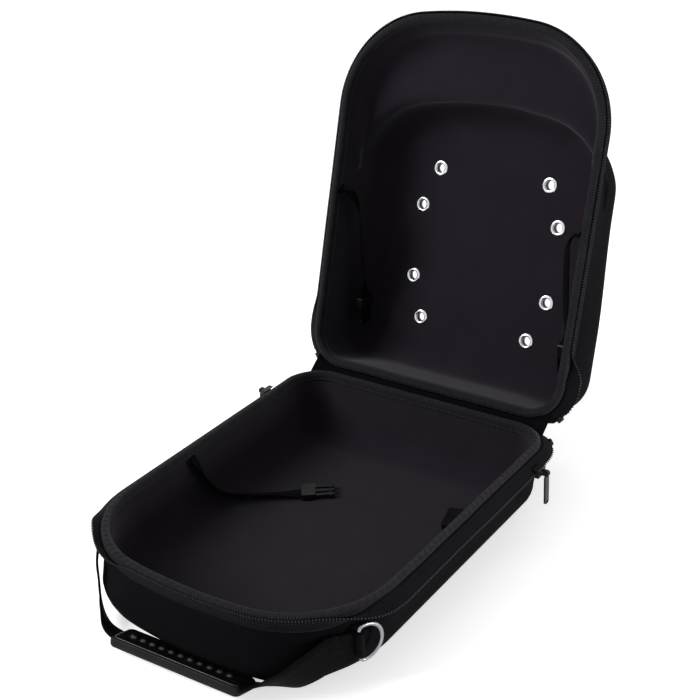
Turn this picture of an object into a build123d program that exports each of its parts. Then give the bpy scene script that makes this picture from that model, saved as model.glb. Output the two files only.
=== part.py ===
from build123d import *
import os
from math import atan2, cos, degrees, radians, sin, sqrt

os.makedirs("parts", exist_ok=True)

# Soft-shell hat carrying case, drawn standing open.
# Two moulded foam shells with a D-shaped rim are joined along their straight edge.
# The lower one is a plain tray. The upper one has a deep well for the crowns of the
# hats, and a shallow shelf for their brims.
# Millimetres. The origin is at the centre of the tray's flat underside, +Z is up, X runs
# along the hinge and the rounded front is at -Y.

# Rim outline shared by both shells
case_width = 250.0
case_length = 318.0
back_corner_radius = 32.0
side_corner_radius = 82.0
front_arc_radius = 435.0

# Depths and soft edges, measured on the outside of the shells
tray_depth = 66.0
tray_edge_radius = 24.0
brim_depth = 34.0
brim_edge_radius = 16.0
crown_depth = 74.0
crown_length = 254.0
crown_corner_radius = 74.0
crown_arc_radius = 330.0
crown_edge_radius = 28.0
shell_wall = 4.0
lining_wall = 1.2

# Padded binding round each rim
binding_height = 5.0
binding_width = 9.0
binding_overhang = 1.5
binding_edge_radius = 2.0
rim_clearance = 0.3
trim_margin = 25.0

# Hinge between the two straight edges
hinge_slack = 1.5
lid_lean = 18.0
seam_roll_radius = 1.2
seam_clearance = 0.3
seam_length = 180.0
seam_strip_height = 12.0
seam_strip_thickness = 0.9

# Zip: a slanted tape round each rim, with a coil along its free edge
tape_reach = 7.0
tape_drop = 7.0
tape_thickness = 1.4
tape_root = 2.4
tape_end_angle = 40.0
coil_radius = 1.5
coil_clearance = 0.1
stop_length = 5.0
stop_radius = 2.2

# Eyelets in the crown, given across and along the lid from the hinge
eyelet_across = [54.8, 68.5, 68.5, 54.8]
eyelet_along = [190.0, 155.0, 89.0, 52.0]
eyelet_hole_radius = 4.0
eyelet_barrel_wall = 0.7
eyelet_flange_radius = 7.3
eyelet_flange_thickness = 0.8
eyelet_flange_edge = 0.35
washer_radius = 6.8
washer_thickness = 0.7
eyelet_clearance = 0.2

# Ring for a shoulder strap on each side wall
ring_bar_angle = 28.0
ring_lie_angle = 21.0
ring_height = 36.0
ring_wire_radius = 1.5
ring_opening_height = 25.4
ring_depth = 18.0
ring_bar_corner = 3.0
loop_seat = 0.4
ring_clearance = 0.3
loop_wall = 1.4
loop_height = 21.0
patch_thickness = 1.4
patch_length = 46.0
patch_height = 25.0

# Carrying handle: two webbing arms and a moulded grip
webbing_width = 24.0
webbing_thickness = 1.8
arm_middle_stand_off = 6.0
arm_middle_height = 27.0
arm_low_stand_off = 9.0
arm_low_height = 18.5
grip_length = 116.0
grip_width = 25.0
grip_thickness = 8.5
grip_edge_radius = 2.5
grip_tilt = 14.0
grip_reach = 9.4
grip_bottom_clearance = 0.1
finger_bump_count = 6
finger_bump_radius = 5.0
finger_bump_height = 1.6
finger_bump_slope = 40.0

# Retaining straps and their side-release buckles
strap_width = 14.0
strap_thickness = 1.4
strap_gap = 0.3
lid_strap_along = 156.0
lid_strap_depth = 13.0
lid_strap_inset = 22.0
lid_strap_length = 96.0
strap_tab_height = 12.0
strap_tab_thickness = 2.4
strap_tab_corner_radius = 0.8
tray_strap_y = 22.0
tray_strap_turn_left = 37.0
tray_strap_turn_right = 75.0
tray_strap_length = 47.0
tray_tab_height = 34.0
buckle_width = 18.0
buckle_thickness = 6.0
buckle_corner_radius = 2.0
male_base_length = 12.0
male_prong_length = 16.0
male_prong_width = 3.2
male_prong_inset = 1.1
male_catch_radius = 2.6
male_guide_width = 4.2
male_prong_thickness = 3.0
female_length = 26.0
socket_length = 18.0
socket_width = 14.0
socket_height = 3.6
release_window_length = 8.0

# Zip sliders and pull tabs
slider_y = 112.0
slider_length = 11.0
slider_width = 8.0
slider_height = 7.4
slider_clearance = 0.35
slider_edge_radius = 1.0
bridge_length = 7.0
bridge_reach = 4.6
bridge_bar_radius = 0.9
bridge_arm_width = 1.8
tab_length = 26.0
tab_width = 6.0
tab_thickness = 1.6
tab_eye_radius = 2.6
tab_eye_width = 3.0
tab_neck = 0.7
tab_corner_radius = 2.0
tab_hole_radius = 1.2
tab_clearance = 0.6

# Derived positions
half_width = case_width / 2
hinge_gap = binding_overhang + hinge_slack
hinge_y = case_length / 2 + hinge_gap
lean = radians(lid_lean)
binding_inset = binding_width - binding_overhang
cavity_inset = shell_wall + lining_wall
tray_frame = Plane(origin=(0, hinge_y, 0), x_dir=(1, 0, 0), z_dir=(0, 0, 1))
lid_frame = Plane(origin=(0, hinge_y, tray_depth), x_dir=(1, 0, 0), z_dir=(0, cos(lean), -sin(lean)))
lid_depth_axis = Axis(origin=lid_frame.origin, direction=lid_frame.z_dir)
side_centre_x = half_width - side_corner_radius
side_centre_y = (
    -case_length / 2
    + front_arc_radius
    - sqrt((front_arc_radius - side_corner_radius) ** 2 - side_centre_x**2)
)


def case_face(plane, inset=0.0, length=case_length, side=side_corner_radius, front=front_arc_radius):
    """D-shaped face on a plane whose X axis lies on the hinge, moved inwards by inset."""
    half = half_width - inset
    back_y = -hinge_gap - inset
    front_y = -hinge_gap - length + inset
    back_radius = back_corner_radius - inset
    side_radius = side - inset
    front_radius = front - inset
    front_centre = (0.0, front_y + front_radius)
    side_centre = (
        half - side_radius,
        front_centre[1] - sqrt((front_radius - side_radius) ** 2 - (half - side_radius) ** 2),
    )
    reach = front_radius / (front_radius - side_radius)
    meeting = (
        side_centre[0] * reach,
        front_centre[1] + (side_centre[1] - front_centre[1]) * reach,
    )
    with BuildSketch(plane) as face:
        with BuildLine():
            Line((0, back_y), (half - back_radius, back_y))
            TangentArc((half - back_radius, back_y), (half, back_y - back_radius), tangent=(1, 0))
            Line((half, back_y - back_radius), (half, side_centre[1]))
            TangentArc((half, side_centre[1]), meeting, tangent=(0, -1))
            TangentArc((0, front_y), meeting, tangent=(1, 0))
            mirror(about=Plane.YZ)
        make_face()
    return face.sketch


def crown_face(plane, inset=0.0):
    """The shorter D of the crown well."""
    return case_face(plane, inset, crown_length, crown_corner_radius, crown_arc_radius)


def tub(face, depth, edge_radius, axis, outward):
    """Solid with the given rim face, as deep as depth, with a soft edge round its floor."""
    with BuildPart() as body:
        extrude(face, amount=outward * depth)
        floor = body.faces().sort_by(axis)[-1 if outward > 0 else 0]
        fillet(floor.edges(), edge_radius)
    return body.part


def tray_tub(inset):
    """Tray form: rim at tray_depth, floor raised by the inset."""
    rim = case_face(tray_frame.offset(tray_depth), inset)
    return tub(rim, tray_depth - inset, tray_edge_radius - inset, Axis.Z, -1)


def lid_tub(inset):
    """Lid form: the brim shelf and the crown well, both open at the rim plane."""
    brim = tub(case_face(lid_frame, inset), brim_depth - inset, brim_edge_radius - inset, lid_depth_axis, 1)
    crown = tub(crown_face(lid_frame, inset), crown_depth - inset, crown_edge_radius - inset, lid_depth_axis, 1)
    with BuildPart() as form:
        add(brim)
        add(crown)
    return form.part


def rim_trim(plane, outward):
    """Slab that clears the shells' edge where the binding sits."""
    with BuildPart() as slab:
        extrude(case_face(plane, -trim_margin), amount=outward * binding_height)
    return slab.part


def binding_ring(plane, outward):
    """Padded roll that caps a rim, from rim_clearance to binding_height below the parting plane."""
    with BuildPart() as ring:
        extrude(case_face(plane.offset(outward * rim_clearance), -binding_overhang),
                amount=outward * (binding_height - rim_clearance))
        extrude(case_face(plane, binding_inset), amount=outward * binding_height, mode=Mode.SUBTRACT)
        axis = Axis(origin=plane.origin, direction=plane.z_dir)
        crest = ring.faces().sort_by(axis)[0 if outward > 0 else -1]
        fillet(crest.edges(), binding_edge_radius)
    return ring


def rim_station(plane, outward, centre, radius, angle):
    """Plane across the rim at an angle round a corner: X points out, Y away from the parting plane."""
    turn = radians(angle)
    out = plane.x_dir * cos(turn) + plane.y_dir * sin(turn)
    origin = plane.from_local_coords(Vector(*centre)) + out * radius
    return Plane(origin=origin, x_dir=out, z_dir=out.cross(plane.z_dir * outward))


def along_rim(plane, outward, profile):
    """Solid left by a profile carried round the rim, from one back corner to the other."""
    corner = (half_width - back_corner_radius, -hinge_gap - back_corner_radius)
    side = (side_centre_x, side_centre_y - hinge_y)
    front = (0.0, front_arc_radius - case_length - hinge_gap)
    side_angle = degrees(atan2(front[1] - side[1], side[0]))
    with BuildPart() as run:
        start = rim_station(plane, outward, corner, back_corner_radius, 0)
        revolve(profile(start), Axis(plane.from_local_coords(Vector(*corner)), plane.z_dir), tape_end_angle)
        extrude(profile(start), amount=corner[1] - side[1], dir=plane.y_dir * -1)
        start = rim_station(plane, outward, side, side_corner_radius, 0)
        revolve(profile(start), Axis(plane.from_local_coords(Vector(*side)), plane.z_dir * -1), side_angle)
        mirror(about=Plane.YZ)
        start = rim_station(plane, outward, front, front_arc_radius, -side_angle)
        revolve(profile(start), Axis(plane.from_local_coords(Vector(*front)), plane.z_dir * -1),
                180 - 2 * side_angle)
    return run


def tape_profile(station):
    """Section of the tape, slanting out from the binding."""
    with BuildSketch(station) as section:
        with BuildLine():
            Polyline(
                (binding_overhang, tape_root),
                (binding_overhang + tape_reach, tape_root + tape_drop),
                (binding_overhang + tape_reach, tape_root + tape_drop + tape_thickness),
                (binding_overhang, tape_root + tape_thickness),
                close=True,
            )
        make_face()
    return section.sketch


coil_reach = binding_overhang + tape_reach + coil_radius + coil_clearance
coil_drop = tape_root + tape_drop + tape_thickness / 2


def coil_profile(station):
    """Section of the coil, just beyond the tape's free edge."""
    with BuildSketch(station) as section:
        with Locations((coil_reach, coil_drop)):
            Circle(coil_radius)
    return section.sketch


def coil_stops(plane, outward):
    """Two crimped stops, one beyond each end of the coil."""
    corner = (half_width - back_corner_radius, -hinge_gap - back_corner_radius)
    end = rim_station(plane, outward, corner, back_corner_radius, tape_end_angle)
    beyond = plane.y_dir * cos(radians(tape_end_angle)) - plane.x_dir * sin(radians(tape_end_angle))
    with BuildPart() as stops:
        with BuildSketch(end):
            with Locations((coil_reach, coil_drop)):
                Circle(stop_radius)
        extrude(amount=stop_length, dir=beyond)
        mirror(about=Plane.YZ)
    return stops


# Tray shell and its lining
with BuildPart() as tray_shell:
    add(tray_tub(0.0))
    add(tray_tub(shell_wall), mode=Mode.SUBTRACT)
    add(rim_trim(tray_frame.offset(tray_depth), -1), mode=Mode.SUBTRACT)
tray_shell.part.label = "tray_shell"
export_step(tray_shell.part, "parts/tray_shell.step")

with BuildPart() as tray_lining:
    add(tray_tub(shell_wall))
    add(tray_tub(cavity_inset), mode=Mode.SUBTRACT)
    add(rim_trim(tray_frame.offset(tray_depth), -1), mode=Mode.SUBTRACT)
tray_lining.part.label = "tray_lining"
export_step(tray_lining.part, "parts/tray_lining.step")

# Lid shell and its lining, pierced for the eyelets
eyelet_bore = eyelet_hole_radius + eyelet_barrel_wall + eyelet_clearance
eyelet_spots = [
    (side * across, -along)
    for across, along in zip(eyelet_across, eyelet_along)
    for side in (-1, 1)
]

with BuildPart() as lid_shell:
    add(lid_tub(0.0))
    add(lid_tub(shell_wall), mode=Mode.SUBTRACT)
    add(rim_trim(lid_frame, 1), mode=Mode.SUBTRACT)
    with BuildSketch(lid_frame.offset(crown_depth - shell_wall)):
        with Locations(eyelet_spots):
            Circle(eyelet_bore)
    extrude(amount=shell_wall, mode=Mode.SUBTRACT)
lid_shell.part.label = "lid_shell"
export_step(lid_shell.part, "parts/lid_shell.step")

with BuildPart() as lid_lining:
    add(lid_tub(shell_wall))
    add(lid_tub(cavity_inset), mode=Mode.SUBTRACT)
    add(rim_trim(lid_frame, 1), mode=Mode.SUBTRACT)
    with BuildSketch(lid_frame.offset(crown_depth - cavity_inset)):
        with Locations(eyelet_spots):
            Circle(eyelet_bore)
    extrude(amount=lining_wall, mode=Mode.SUBTRACT)
lid_lining.part.label = "lid_lining"
export_step(lid_lining.part, "parts/lid_lining.step")

# Rim bindings
tray_binding = binding_ring(tray_frame.offset(tray_depth), -1)
tray_binding.part.label = "tray_binding"
export_step(tray_binding.part, "parts/tray_binding.step")

lid_binding = binding_ring(lid_frame, 1)
lid_binding.part.label = "lid_binding"
export_step(lid_binding.part, "parts/lid_binding.step")

# Zip tapes, coils and end stops
tray_zipper_tape = along_rim(tray_frame.offset(tray_depth), -1, tape_profile)
tray_zipper_tape.part.label = "tray_zipper_tape"
export_step(tray_zipper_tape.part, "parts/tray_zipper_tape.step")

lid_zipper_tape = along_rim(lid_frame, 1, tape_profile)
lid_zipper_tape.part.label = "lid_zipper_tape"
export_step(lid_zipper_tape.part, "parts/lid_zipper_tape.step")

tray_zipper_coil = along_rim(tray_frame.offset(tray_depth), -1, coil_profile)
tray_zipper_coil.part.label = "tray_zipper_coil"
export_step(tray_zipper_coil.part, "parts/tray_zipper_coil.step")

lid_zipper_coil = along_rim(lid_frame, 1, coil_profile)
lid_zipper_coil.part.label = "lid_zipper_coil"
export_step(lid_zipper_coil.part, "parts/lid_zipper_coil.step")

tray_coil_stops = coil_stops(tray_frame.offset(tray_depth), -1)
tray_coil_stops.part.label = "tray_coil_stops"
export_step(tray_coil_stops.part, "parts/tray_coil_stops.step")

lid_coil_stops = coil_stops(lid_frame, 1)
lid_coil_stops.part.label = "lid_coil_stops"
export_step(lid_coil_stops.part, "parts/lid_coil_stops.step")

# Hinge seam. The tray's strip ends in a roll on the hinge line, and the lid's strip
# stops just short of that roll, so the two turn round it without touching.
web_y = -hinge_slack + seam_clearance
strip_drop = binding_height + seam_clearance


def seam_strip(plane, outward, web_top):
    """Strip sewn to the outside of a shell, stepped out round the binding."""
    outer_y = web_y + seam_strip_thickness
    with BuildPart() as strip:
        with BuildSketch(Plane(origin=plane.origin, x_dir=plane.y_dir, z_dir=plane.x_dir)) as profile:
            with BuildLine():
                Polyline(
                    (-hinge_gap, outward * (seam_strip_height + binding_height)),
                    (-hinge_gap, outward * strip_drop),
                    (web_y, outward * strip_drop),
                    (web_y, outward * web_top),
                    (outer_y, outward * web_top),
                    (outer_y, outward * (seam_strip_thickness + strip_drop)),
                    (-hinge_gap + seam_strip_thickness, outward * (seam_strip_thickness + strip_drop)),
                    (-hinge_gap + seam_strip_thickness, outward * (seam_strip_height + binding_height)),
                    close=True,
                )
            make_face()
        extrude(amount=seam_length / 2, both=True)
    return strip


with BuildPart() as hinge_seam_tray:
    add(seam_strip(tray_frame.offset(tray_depth), -1, 0.0).part)
    with BuildSketch(Plane.YZ):
        with Locations((hinge_y, tray_depth)):
            Circle(seam_roll_radius)
    extrude(amount=seam_length / 2, both=True)
hinge_seam_tray.part.label = "hinge_seam_tray"
export_step(hinge_seam_tray.part, "parts/hinge_seam_tray.step")

hinge_seam_lid = seam_strip(lid_frame, 1, seam_roll_radius + seam_clearance)
hinge_seam_lid.part.label = "hinge_seam_lid"
export_step(hinge_seam_lid.part, "parts/hinge_seam_lid.step")

# Eyelets: a flange and barrel from inside, and a washer under the rolled end outside
eyelet_seat = crown_depth - cavity_inset
with BuildPart() as eyelets:
    with BuildSketch(lid_frame.offset(eyelet_seat - eyelet_flange_thickness)):
        with Locations(eyelet_spots):
            Circle(eyelet_flange_radius)
            Circle(eyelet_hole_radius, mode=Mode.SUBTRACT)
    extrude(amount=eyelet_flange_thickness)
    flange_faces = eyelets.faces().group_by(lid_depth_axis)[0]
    fillet(flange_faces.edges(), eyelet_flange_edge)
    with BuildSketch(lid_frame.offset(eyelet_seat)):
        with Locations(eyelet_spots):
            Circle(eyelet_hole_radius + eyelet_barrel_wall)
            Circle(eyelet_hole_radius, mode=Mode.SUBTRACT)
    extrude(amount=cavity_inset + washer_thickness)
eyelets.part.label = "eyelets"
export_step(eyelets.part, "parts/eyelets.step")

with BuildPart() as eyelet_washers:
    with BuildSketch(lid_frame.offset(crown_depth)):
        with Locations(eyelet_spots):
            Circle(washer_radius)
            Circle(eyelet_hole_radius + eyelet_barrel_wall, mode=Mode.SUBTRACT)
    extrude(amount=washer_thickness)
eyelet_washers.part.label = "eyelet_washers"
export_step(eyelet_washers.part, "parts/eyelet_washers.step")

# Side rings. Each hangs in a fold of webbing whose end is sewn flat on the wall.
bar_turn = radians(ring_bar_angle)
lie_turn = radians(ring_lie_angle)
loop_radius = ring_wire_radius + ring_clearance + loop_wall
bar_reach = side_corner_radius + patch_thickness + loop_radius - loop_seat
ring_bar = Vector(
    side_centre_x + bar_reach * cos(bar_turn),
    side_centre_y - bar_reach * sin(bar_turn),
    ring_height,
)
ring_half_height = ring_opening_height / 2 + ring_wire_radius
bar_half_height = ring_half_height - ring_bar_corner
bar_section = Plane(origin=ring_bar, x_dir=(sin(lie_turn), cos(lie_turn), 0), z_dir=(0, 0, 1))


def wire_section(frame, x, y, across, along):
    """Round section of the wire, across and along being the frame's axes to turn it to."""
    origin = frame.from_local_coords(Vector(x, y))
    with BuildSketch(Plane(origin=origin, x_dir=across, z_dir=along)) as section:
        Circle(ring_wire_radius)
    return section.sketch


def d_ring(side):
    """Bent wire ring: a straight bar in the fold, two short sides and a half round."""
    frame = Plane(
        origin=(side * ring_bar.X, ring_bar.Y, ring_bar.Z),
        x_dir=(side * sin(lie_turn), cos(lie_turn), 0),
        z_dir=(side * cos(lie_turn), -sin(lie_turn), 0),
    )
    corner_axis = Axis(frame.from_local_coords(Vector(ring_bar_corner, bar_half_height)), frame.z_dir * -1)
    round_axis = Axis(frame.from_local_coords(Vector(ring_depth - ring_half_height, 0)), frame.z_dir * -1)
    with BuildPart() as ring:
        extrude(wire_section(frame, 0, 0, frame.x_dir, frame.y_dir), amount=bar_half_height)
        revolve(wire_section(frame, 0, bar_half_height, frame.x_dir, frame.y_dir), corner_axis, 90)
        extrude(wire_section(frame, ring_bar_corner, ring_half_height, frame.y_dir, frame.x_dir),
                amount=ring_depth - ring_bar_corner - ring_half_height)
        revolve(wire_section(frame, ring_depth - ring_half_height, ring_half_height, frame.y_dir, frame.x_dir),
                round_axis, 90)
        mirror(about=Plane(origin=frame.origin, x_dir=frame.x_dir, z_dir=frame.y_dir))
    return ring


d_ring_right = d_ring(1)
d_ring_right.part.label = "d_ring_right"
export_step(d_ring_right.part, "parts/d_ring_right.step")

d_ring_left = d_ring(-1)
d_ring_left.part.label = "d_ring_left"
export_step(d_ring_left.part, "parts/d_ring_left.step")

with BuildPart() as ring_loop_right:
    with BuildSketch(tray_frame.offset(ring_height)):
        add(case_face(Plane.XY, -patch_thickness))
        add(case_face(Plane.XY), mode=Mode.SUBTRACT)
        with Locations((ring_bar.X, ring_bar.Y - hinge_y)):
            Rectangle(patch_length, patch_length, mode=Mode.INTERSECT)
    extrude(amount=patch_height / 2, both=True)
    with BuildSketch(bar_section):
        Circle(loop_radius)
    extrude(amount=loop_height / 2, both=True)
    with BuildSketch(bar_section):
        Circle(ring_wire_radius + ring_clearance)
    extrude(amount=patch_height, both=True, mode=Mode.SUBTRACT)
    add(tray_tub(0.0), mode=Mode.SUBTRACT)
ring_loop_right.part.label = "ring_loop_right"
export_step(ring_loop_right.part, "parts/ring_loop_right.step")

with BuildPart() as ring_loop_left:
    mirror(ring_loop_right.part, about=Plane.YZ)
ring_loop_left.part.label = "ring_loop_left"
export_step(ring_loop_left.part, "parts/ring_loop_left.step")

# Handle grip: a flat moulded bar with finger bumps, lying in front of the tray with its
# inner edge on the ground
grip_y = -case_length / 2 - grip_reach
tilt = radians(grip_tilt)
grip_normal = Vector(0, sin(tilt), cos(tilt))
grip_out = Vector(0, -cos(tilt), sin(tilt))
grip_z = (
    grip_width / 2 * sin(tilt)
    + grip_thickness / 2 * cos(tilt)
    - grip_edge_radius * (sin(tilt) + cos(tilt) - 1)
    + grip_bottom_clearance
)
grip_plane = Plane(origin=(0, grip_y, grip_z), x_dir=(1, 0, 0), z_dir=grip_normal)
bump_pitch = (grip_length - 2 * grip_width) / (finger_bump_count - 1)

with BuildPart() as handle_grip:
    with BuildSketch(grip_plane.offset(-grip_thickness / 2)):
        Rectangle(grip_length, grip_width)
    extrude(amount=grip_thickness)
    fillet(handle_grip.edges().filter_by(Axis.X), grip_edge_radius)
    with BuildSketch(grip_plane.offset(grip_thickness / 2)):
        with GridLocations(bump_pitch, 1, finger_bump_count, 1):
            Circle(finger_bump_radius)
    extrude(amount=finger_bump_height, taper=finger_bump_slope)
handle_grip.part.label = "handle_grip"
export_step(handle_grip.part, "parts/handle_grip.step")

# Handle arms: flat webbing from the ring, round the front corner and down to the grip.
# Each station is (angle round the side corner, distance off the wall, height, lean of
# the webbing's width away from upright).
arm_stations = [
    (36.0, patch_thickness + webbing_thickness / 2 + strap_gap, ring_height, 0.0),
    (50.0, arm_middle_stand_off, arm_middle_height, 14.0),
    (64.0, arm_low_stand_off, arm_low_height, 42.0),
]


def arm_section(point, direction, width_lean):
    """Rectangle of webbing across its run, leaning outwards by width_lean degrees."""
    lean_turn = radians(width_lean)
    across = Vector(0, -sin(lean_turn), cos(lean_turn))
    run = Vector(*direction).normalized()
    across = (across - run * across.dot(run)).normalized()
    with BuildSketch(Plane(origin=point, x_dir=across, z_dir=run)) as section:
        Rectangle(webbing_width, webbing_thickness)
    return section.sketch


grip_end = Vector(grip_length / 2, grip_y, grip_z)
arm_points = []
for angle, stand_off, height, _ in arm_stations:
    reach = side_corner_radius + stand_off
    turn = radians(angle)
    arm_points.append(Vector(side_centre_x + reach * cos(turn), side_centre_y - reach * sin(turn), height))

with BuildPart() as handle_webbing_right:
    first = arm_points[1] - arm_points[0]
    add(arm_section(arm_points[0], (first.X, first.Y, 0), arm_stations[0][3]))
    for index in (1, 2):
        after = (arm_points + [grip_end])[index + 1]
        along = after - arm_points[index - 1]
        add(arm_section(arm_points[index], (along.X, along.Y, along.Z), arm_stations[index][3]))
    add(arm_section(grip_end, (-1, 0, 0), 90.0 - grip_tilt))
    loft(ruled=True)
handle_webbing_right.part.label = "handle_webbing_right"
export_step(handle_webbing_right.part, "parts/handle_webbing_right.step")

with BuildPart() as handle_webbing_left:
    mirror(handle_webbing_right.part, about=Plane.YZ)
handle_webbing_left.part.label = "handle_webbing_left"
export_step(handle_webbing_left.part, "parts/handle_webbing_left.step")


def male_buckle(plane):
    """Plug half: a base with two spring prongs and a guide between them, pointing along X."""
    with BuildPart() as plug:
        with BuildSketch(plane.offset(-buckle_thickness / 2)):
            with Locations((male_base_length / 2, 0)):
                RectangleRounded(male_base_length, buckle_width, buckle_corner_radius)
        extrude(amount=buckle_thickness)
        prong_y = (buckle_width - male_prong_width) / 2 - male_prong_inset
        with BuildSketch(plane.offset(-male_prong_thickness / 2)):
            with Locations((male_base_length + male_prong_length / 2, 0)):
                Rectangle(male_prong_length, male_guide_width)
                with Locations((0, prong_y), (0, -prong_y)):
                    Rectangle(male_prong_length, male_prong_width)
            with Locations((male_base_length + male_prong_length - male_prong_width, prong_y),
                           (male_base_length + male_prong_length - male_prong_width, -prong_y)):
                Circle(male_catch_radius)
        extrude(amount=male_prong_thickness)
    return plug


def female_buckle(plane):
    """Socket half: a sleeve along X, open at its far end, with a release window each side."""
    with BuildPart() as socket:
        with BuildSketch(plane.offset(-buckle_thickness / 2)):
            with Locations((female_length / 2, 0)):
                RectangleRounded(female_length, buckle_width, buckle_corner_radius)
        extrude(amount=buckle_thickness)
        with BuildSketch(plane.offset(-socket_height / 2)):
            with Locations((female_length - socket_length / 2, 0)):
                Rectangle(socket_length, socket_width)
            with Locations((female_length - socket_length / 2, 0)):
                Rectangle(release_window_length, buckle_width * 2)
        extrude(amount=socket_height, mode=Mode.SUBTRACT)
    return socket


def strap_webbing(plane, length):
    """Flat strap from a rounded end at the plane's origin, along X."""
    with BuildPart() as strap:
        with BuildSketch(plane.offset(-strap_thickness / 2)):
            with Locations((length / 2, 0)):
                Rectangle(length, strap_width)
            Circle(strap_width / 2)
        extrude(amount=strap_thickness)
    return strap


# Lid straps: each hangs straight down from a tab sewn in the side wall
lid_strap_x = half_width - lid_strap_inset
lid_strap_point = lid_frame.from_local_coords(Vector(lid_strap_x, -lid_strap_along, lid_strap_depth))
tab_inner_x = lid_strap_x + strap_thickness / 2 + strap_gap
tab_length_out = half_width - cavity_inset - tab_inner_x


def hanging_plane(side, drop=0.0):
    """Plane of a lid strap: X hangs straight down, Z faces the side wall."""
    return Plane(
        origin=(side * lid_strap_x, lid_strap_point.Y, lid_strap_point.Z - drop),
        x_dir=(0, 0, -1),
        z_dir=(1, 0, 0),
    )


with BuildPart() as lid_strap_tabs:
    for side in (-1, 1):
        with BuildSketch(Plane(origin=(side * tab_inner_x, lid_strap_point.Y, lid_strap_point.Z),
                               x_dir=(0, 0, 1), z_dir=(side, 0, 0))):
            RectangleRounded(strap_tab_height, strap_tab_thickness, strap_tab_corner_radius)
        extrude(amount=tab_length_out)
lid_strap_tabs.part.label = "lid_strap_tabs"
export_step(lid_strap_tabs.part, "parts/lid_strap_tabs.step")

lid_strap_left = strap_webbing(hanging_plane(-1), lid_strap_length)
lid_strap_left.part.label = "lid_strap_left"
export_step(lid_strap_left.part, "parts/lid_strap_left.step")

lid_strap_right = strap_webbing(hanging_plane(1), lid_strap_length)
lid_strap_right.part.label = "lid_strap_right"
export_step(lid_strap_right.part, "parts/lid_strap_right.step")

lid_buckle_left = male_buckle(hanging_plane(-1, lid_strap_length))
lid_buckle_left.part.label = "lid_buckle_left"
export_step(lid_buckle_left.part, "parts/lid_buckle_left.step")

lid_buckle_right = female_buckle(hanging_plane(1, lid_strap_length))
lid_buckle_right.part.label = "lid_buckle_right"
export_step(lid_buckle_right.part, "parts/lid_buckle_right.step")

# Tray straps: a length sewn down each wall, and a free length lying on the floor
tray_pivot_x = half_width - tray_edge_radius
strap_floor_z = cavity_inset + strap_gap + strap_thickness / 2


def floor_plane(side, forward=0.0, height=strap_floor_z):
    """Plane of a tray strap: X runs inwards and back along the floor."""
    turn = radians(tray_strap_turn_right if side > 0 else tray_strap_turn_left)
    run = Vector(-side * cos(turn), sin(turn), 0)
    start = Vector(side * (tray_pivot_x - strap_gap - strap_width / 2), tray_strap_y, height)
    return Plane(origin=start + run * forward, x_dir=run, z_dir=(0, 0, 1))


wall_x = half_width - cavity_inset
inner_edge_radius = tray_edge_radius - cavity_inset
with BuildPart() as tray_strap_tabs:
    for side in (-1, 1):
        with BuildSketch(Plane.XZ.offset(-tray_strap_y)):
            with BuildLine():
                for skin in (0.0, strap_thickness):
                    Line((side * (wall_x - skin), tray_edge_radius + tray_tab_height),
                         (side * (wall_x - skin), tray_edge_radius))
                    RadiusArc((side * (wall_x - skin), tray_edge_radius),
                              (side * tray_pivot_x, cavity_inset + skin),
                              side * (inner_edge_radius - skin))
                Line((side * wall_x, tray_edge_radius + tray_tab_height),
                     (side * (wall_x - strap_thickness), tray_edge_radius + tray_tab_height))
                Line((side * tray_pivot_x, cavity_inset),
                     (side * tray_pivot_x, cavity_inset + strap_thickness))
            make_face()
        extrude(amount=strap_width / 2, both=True)
tray_strap_tabs.part.label = "tray_strap_tabs"
export_step(tray_strap_tabs.part, "parts/tray_strap_tabs.step")

tray_strap_left = strap_webbing(floor_plane(-1), tray_strap_length)
tray_strap_left.part.label = "tray_strap_left"
export_step(tray_strap_left.part, "parts/tray_strap_left.step")

tray_strap_right = strap_webbing(floor_plane(1), tray_strap_length)
tray_strap_right.part.label = "tray_strap_right"
export_step(tray_strap_right.part, "parts/tray_strap_right.step")

buckle_floor_z = cavity_inset + strap_gap + buckle_thickness / 2
tray_buckle_left = male_buckle(floor_plane(-1, tray_strap_length, buckle_floor_z))
tray_buckle_left.part.label = "tray_buckle_left"
export_step(tray_buckle_left.part, "parts/tray_buckle_left.step")

tray_buckle_right = female_buckle(floor_plane(1, tray_strap_length, buckle_floor_z))
tray_buckle_right.part.label = "tray_buckle_right"
export_step(tray_buckle_right.part, "parts/tray_buckle_right.step")

# Zip sliders, parked at the back of the tray's straight sides, each with a pull tab that
# hangs from the bridge on its outer face
coil_x = half_width + coil_reach
coil_z = tray_depth - coil_drop
bar_x = coil_x + slider_width / 2 + bridge_reach - bridge_bar_radius
tape_slot = tape_thickness + 2 * slider_clearance

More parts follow.
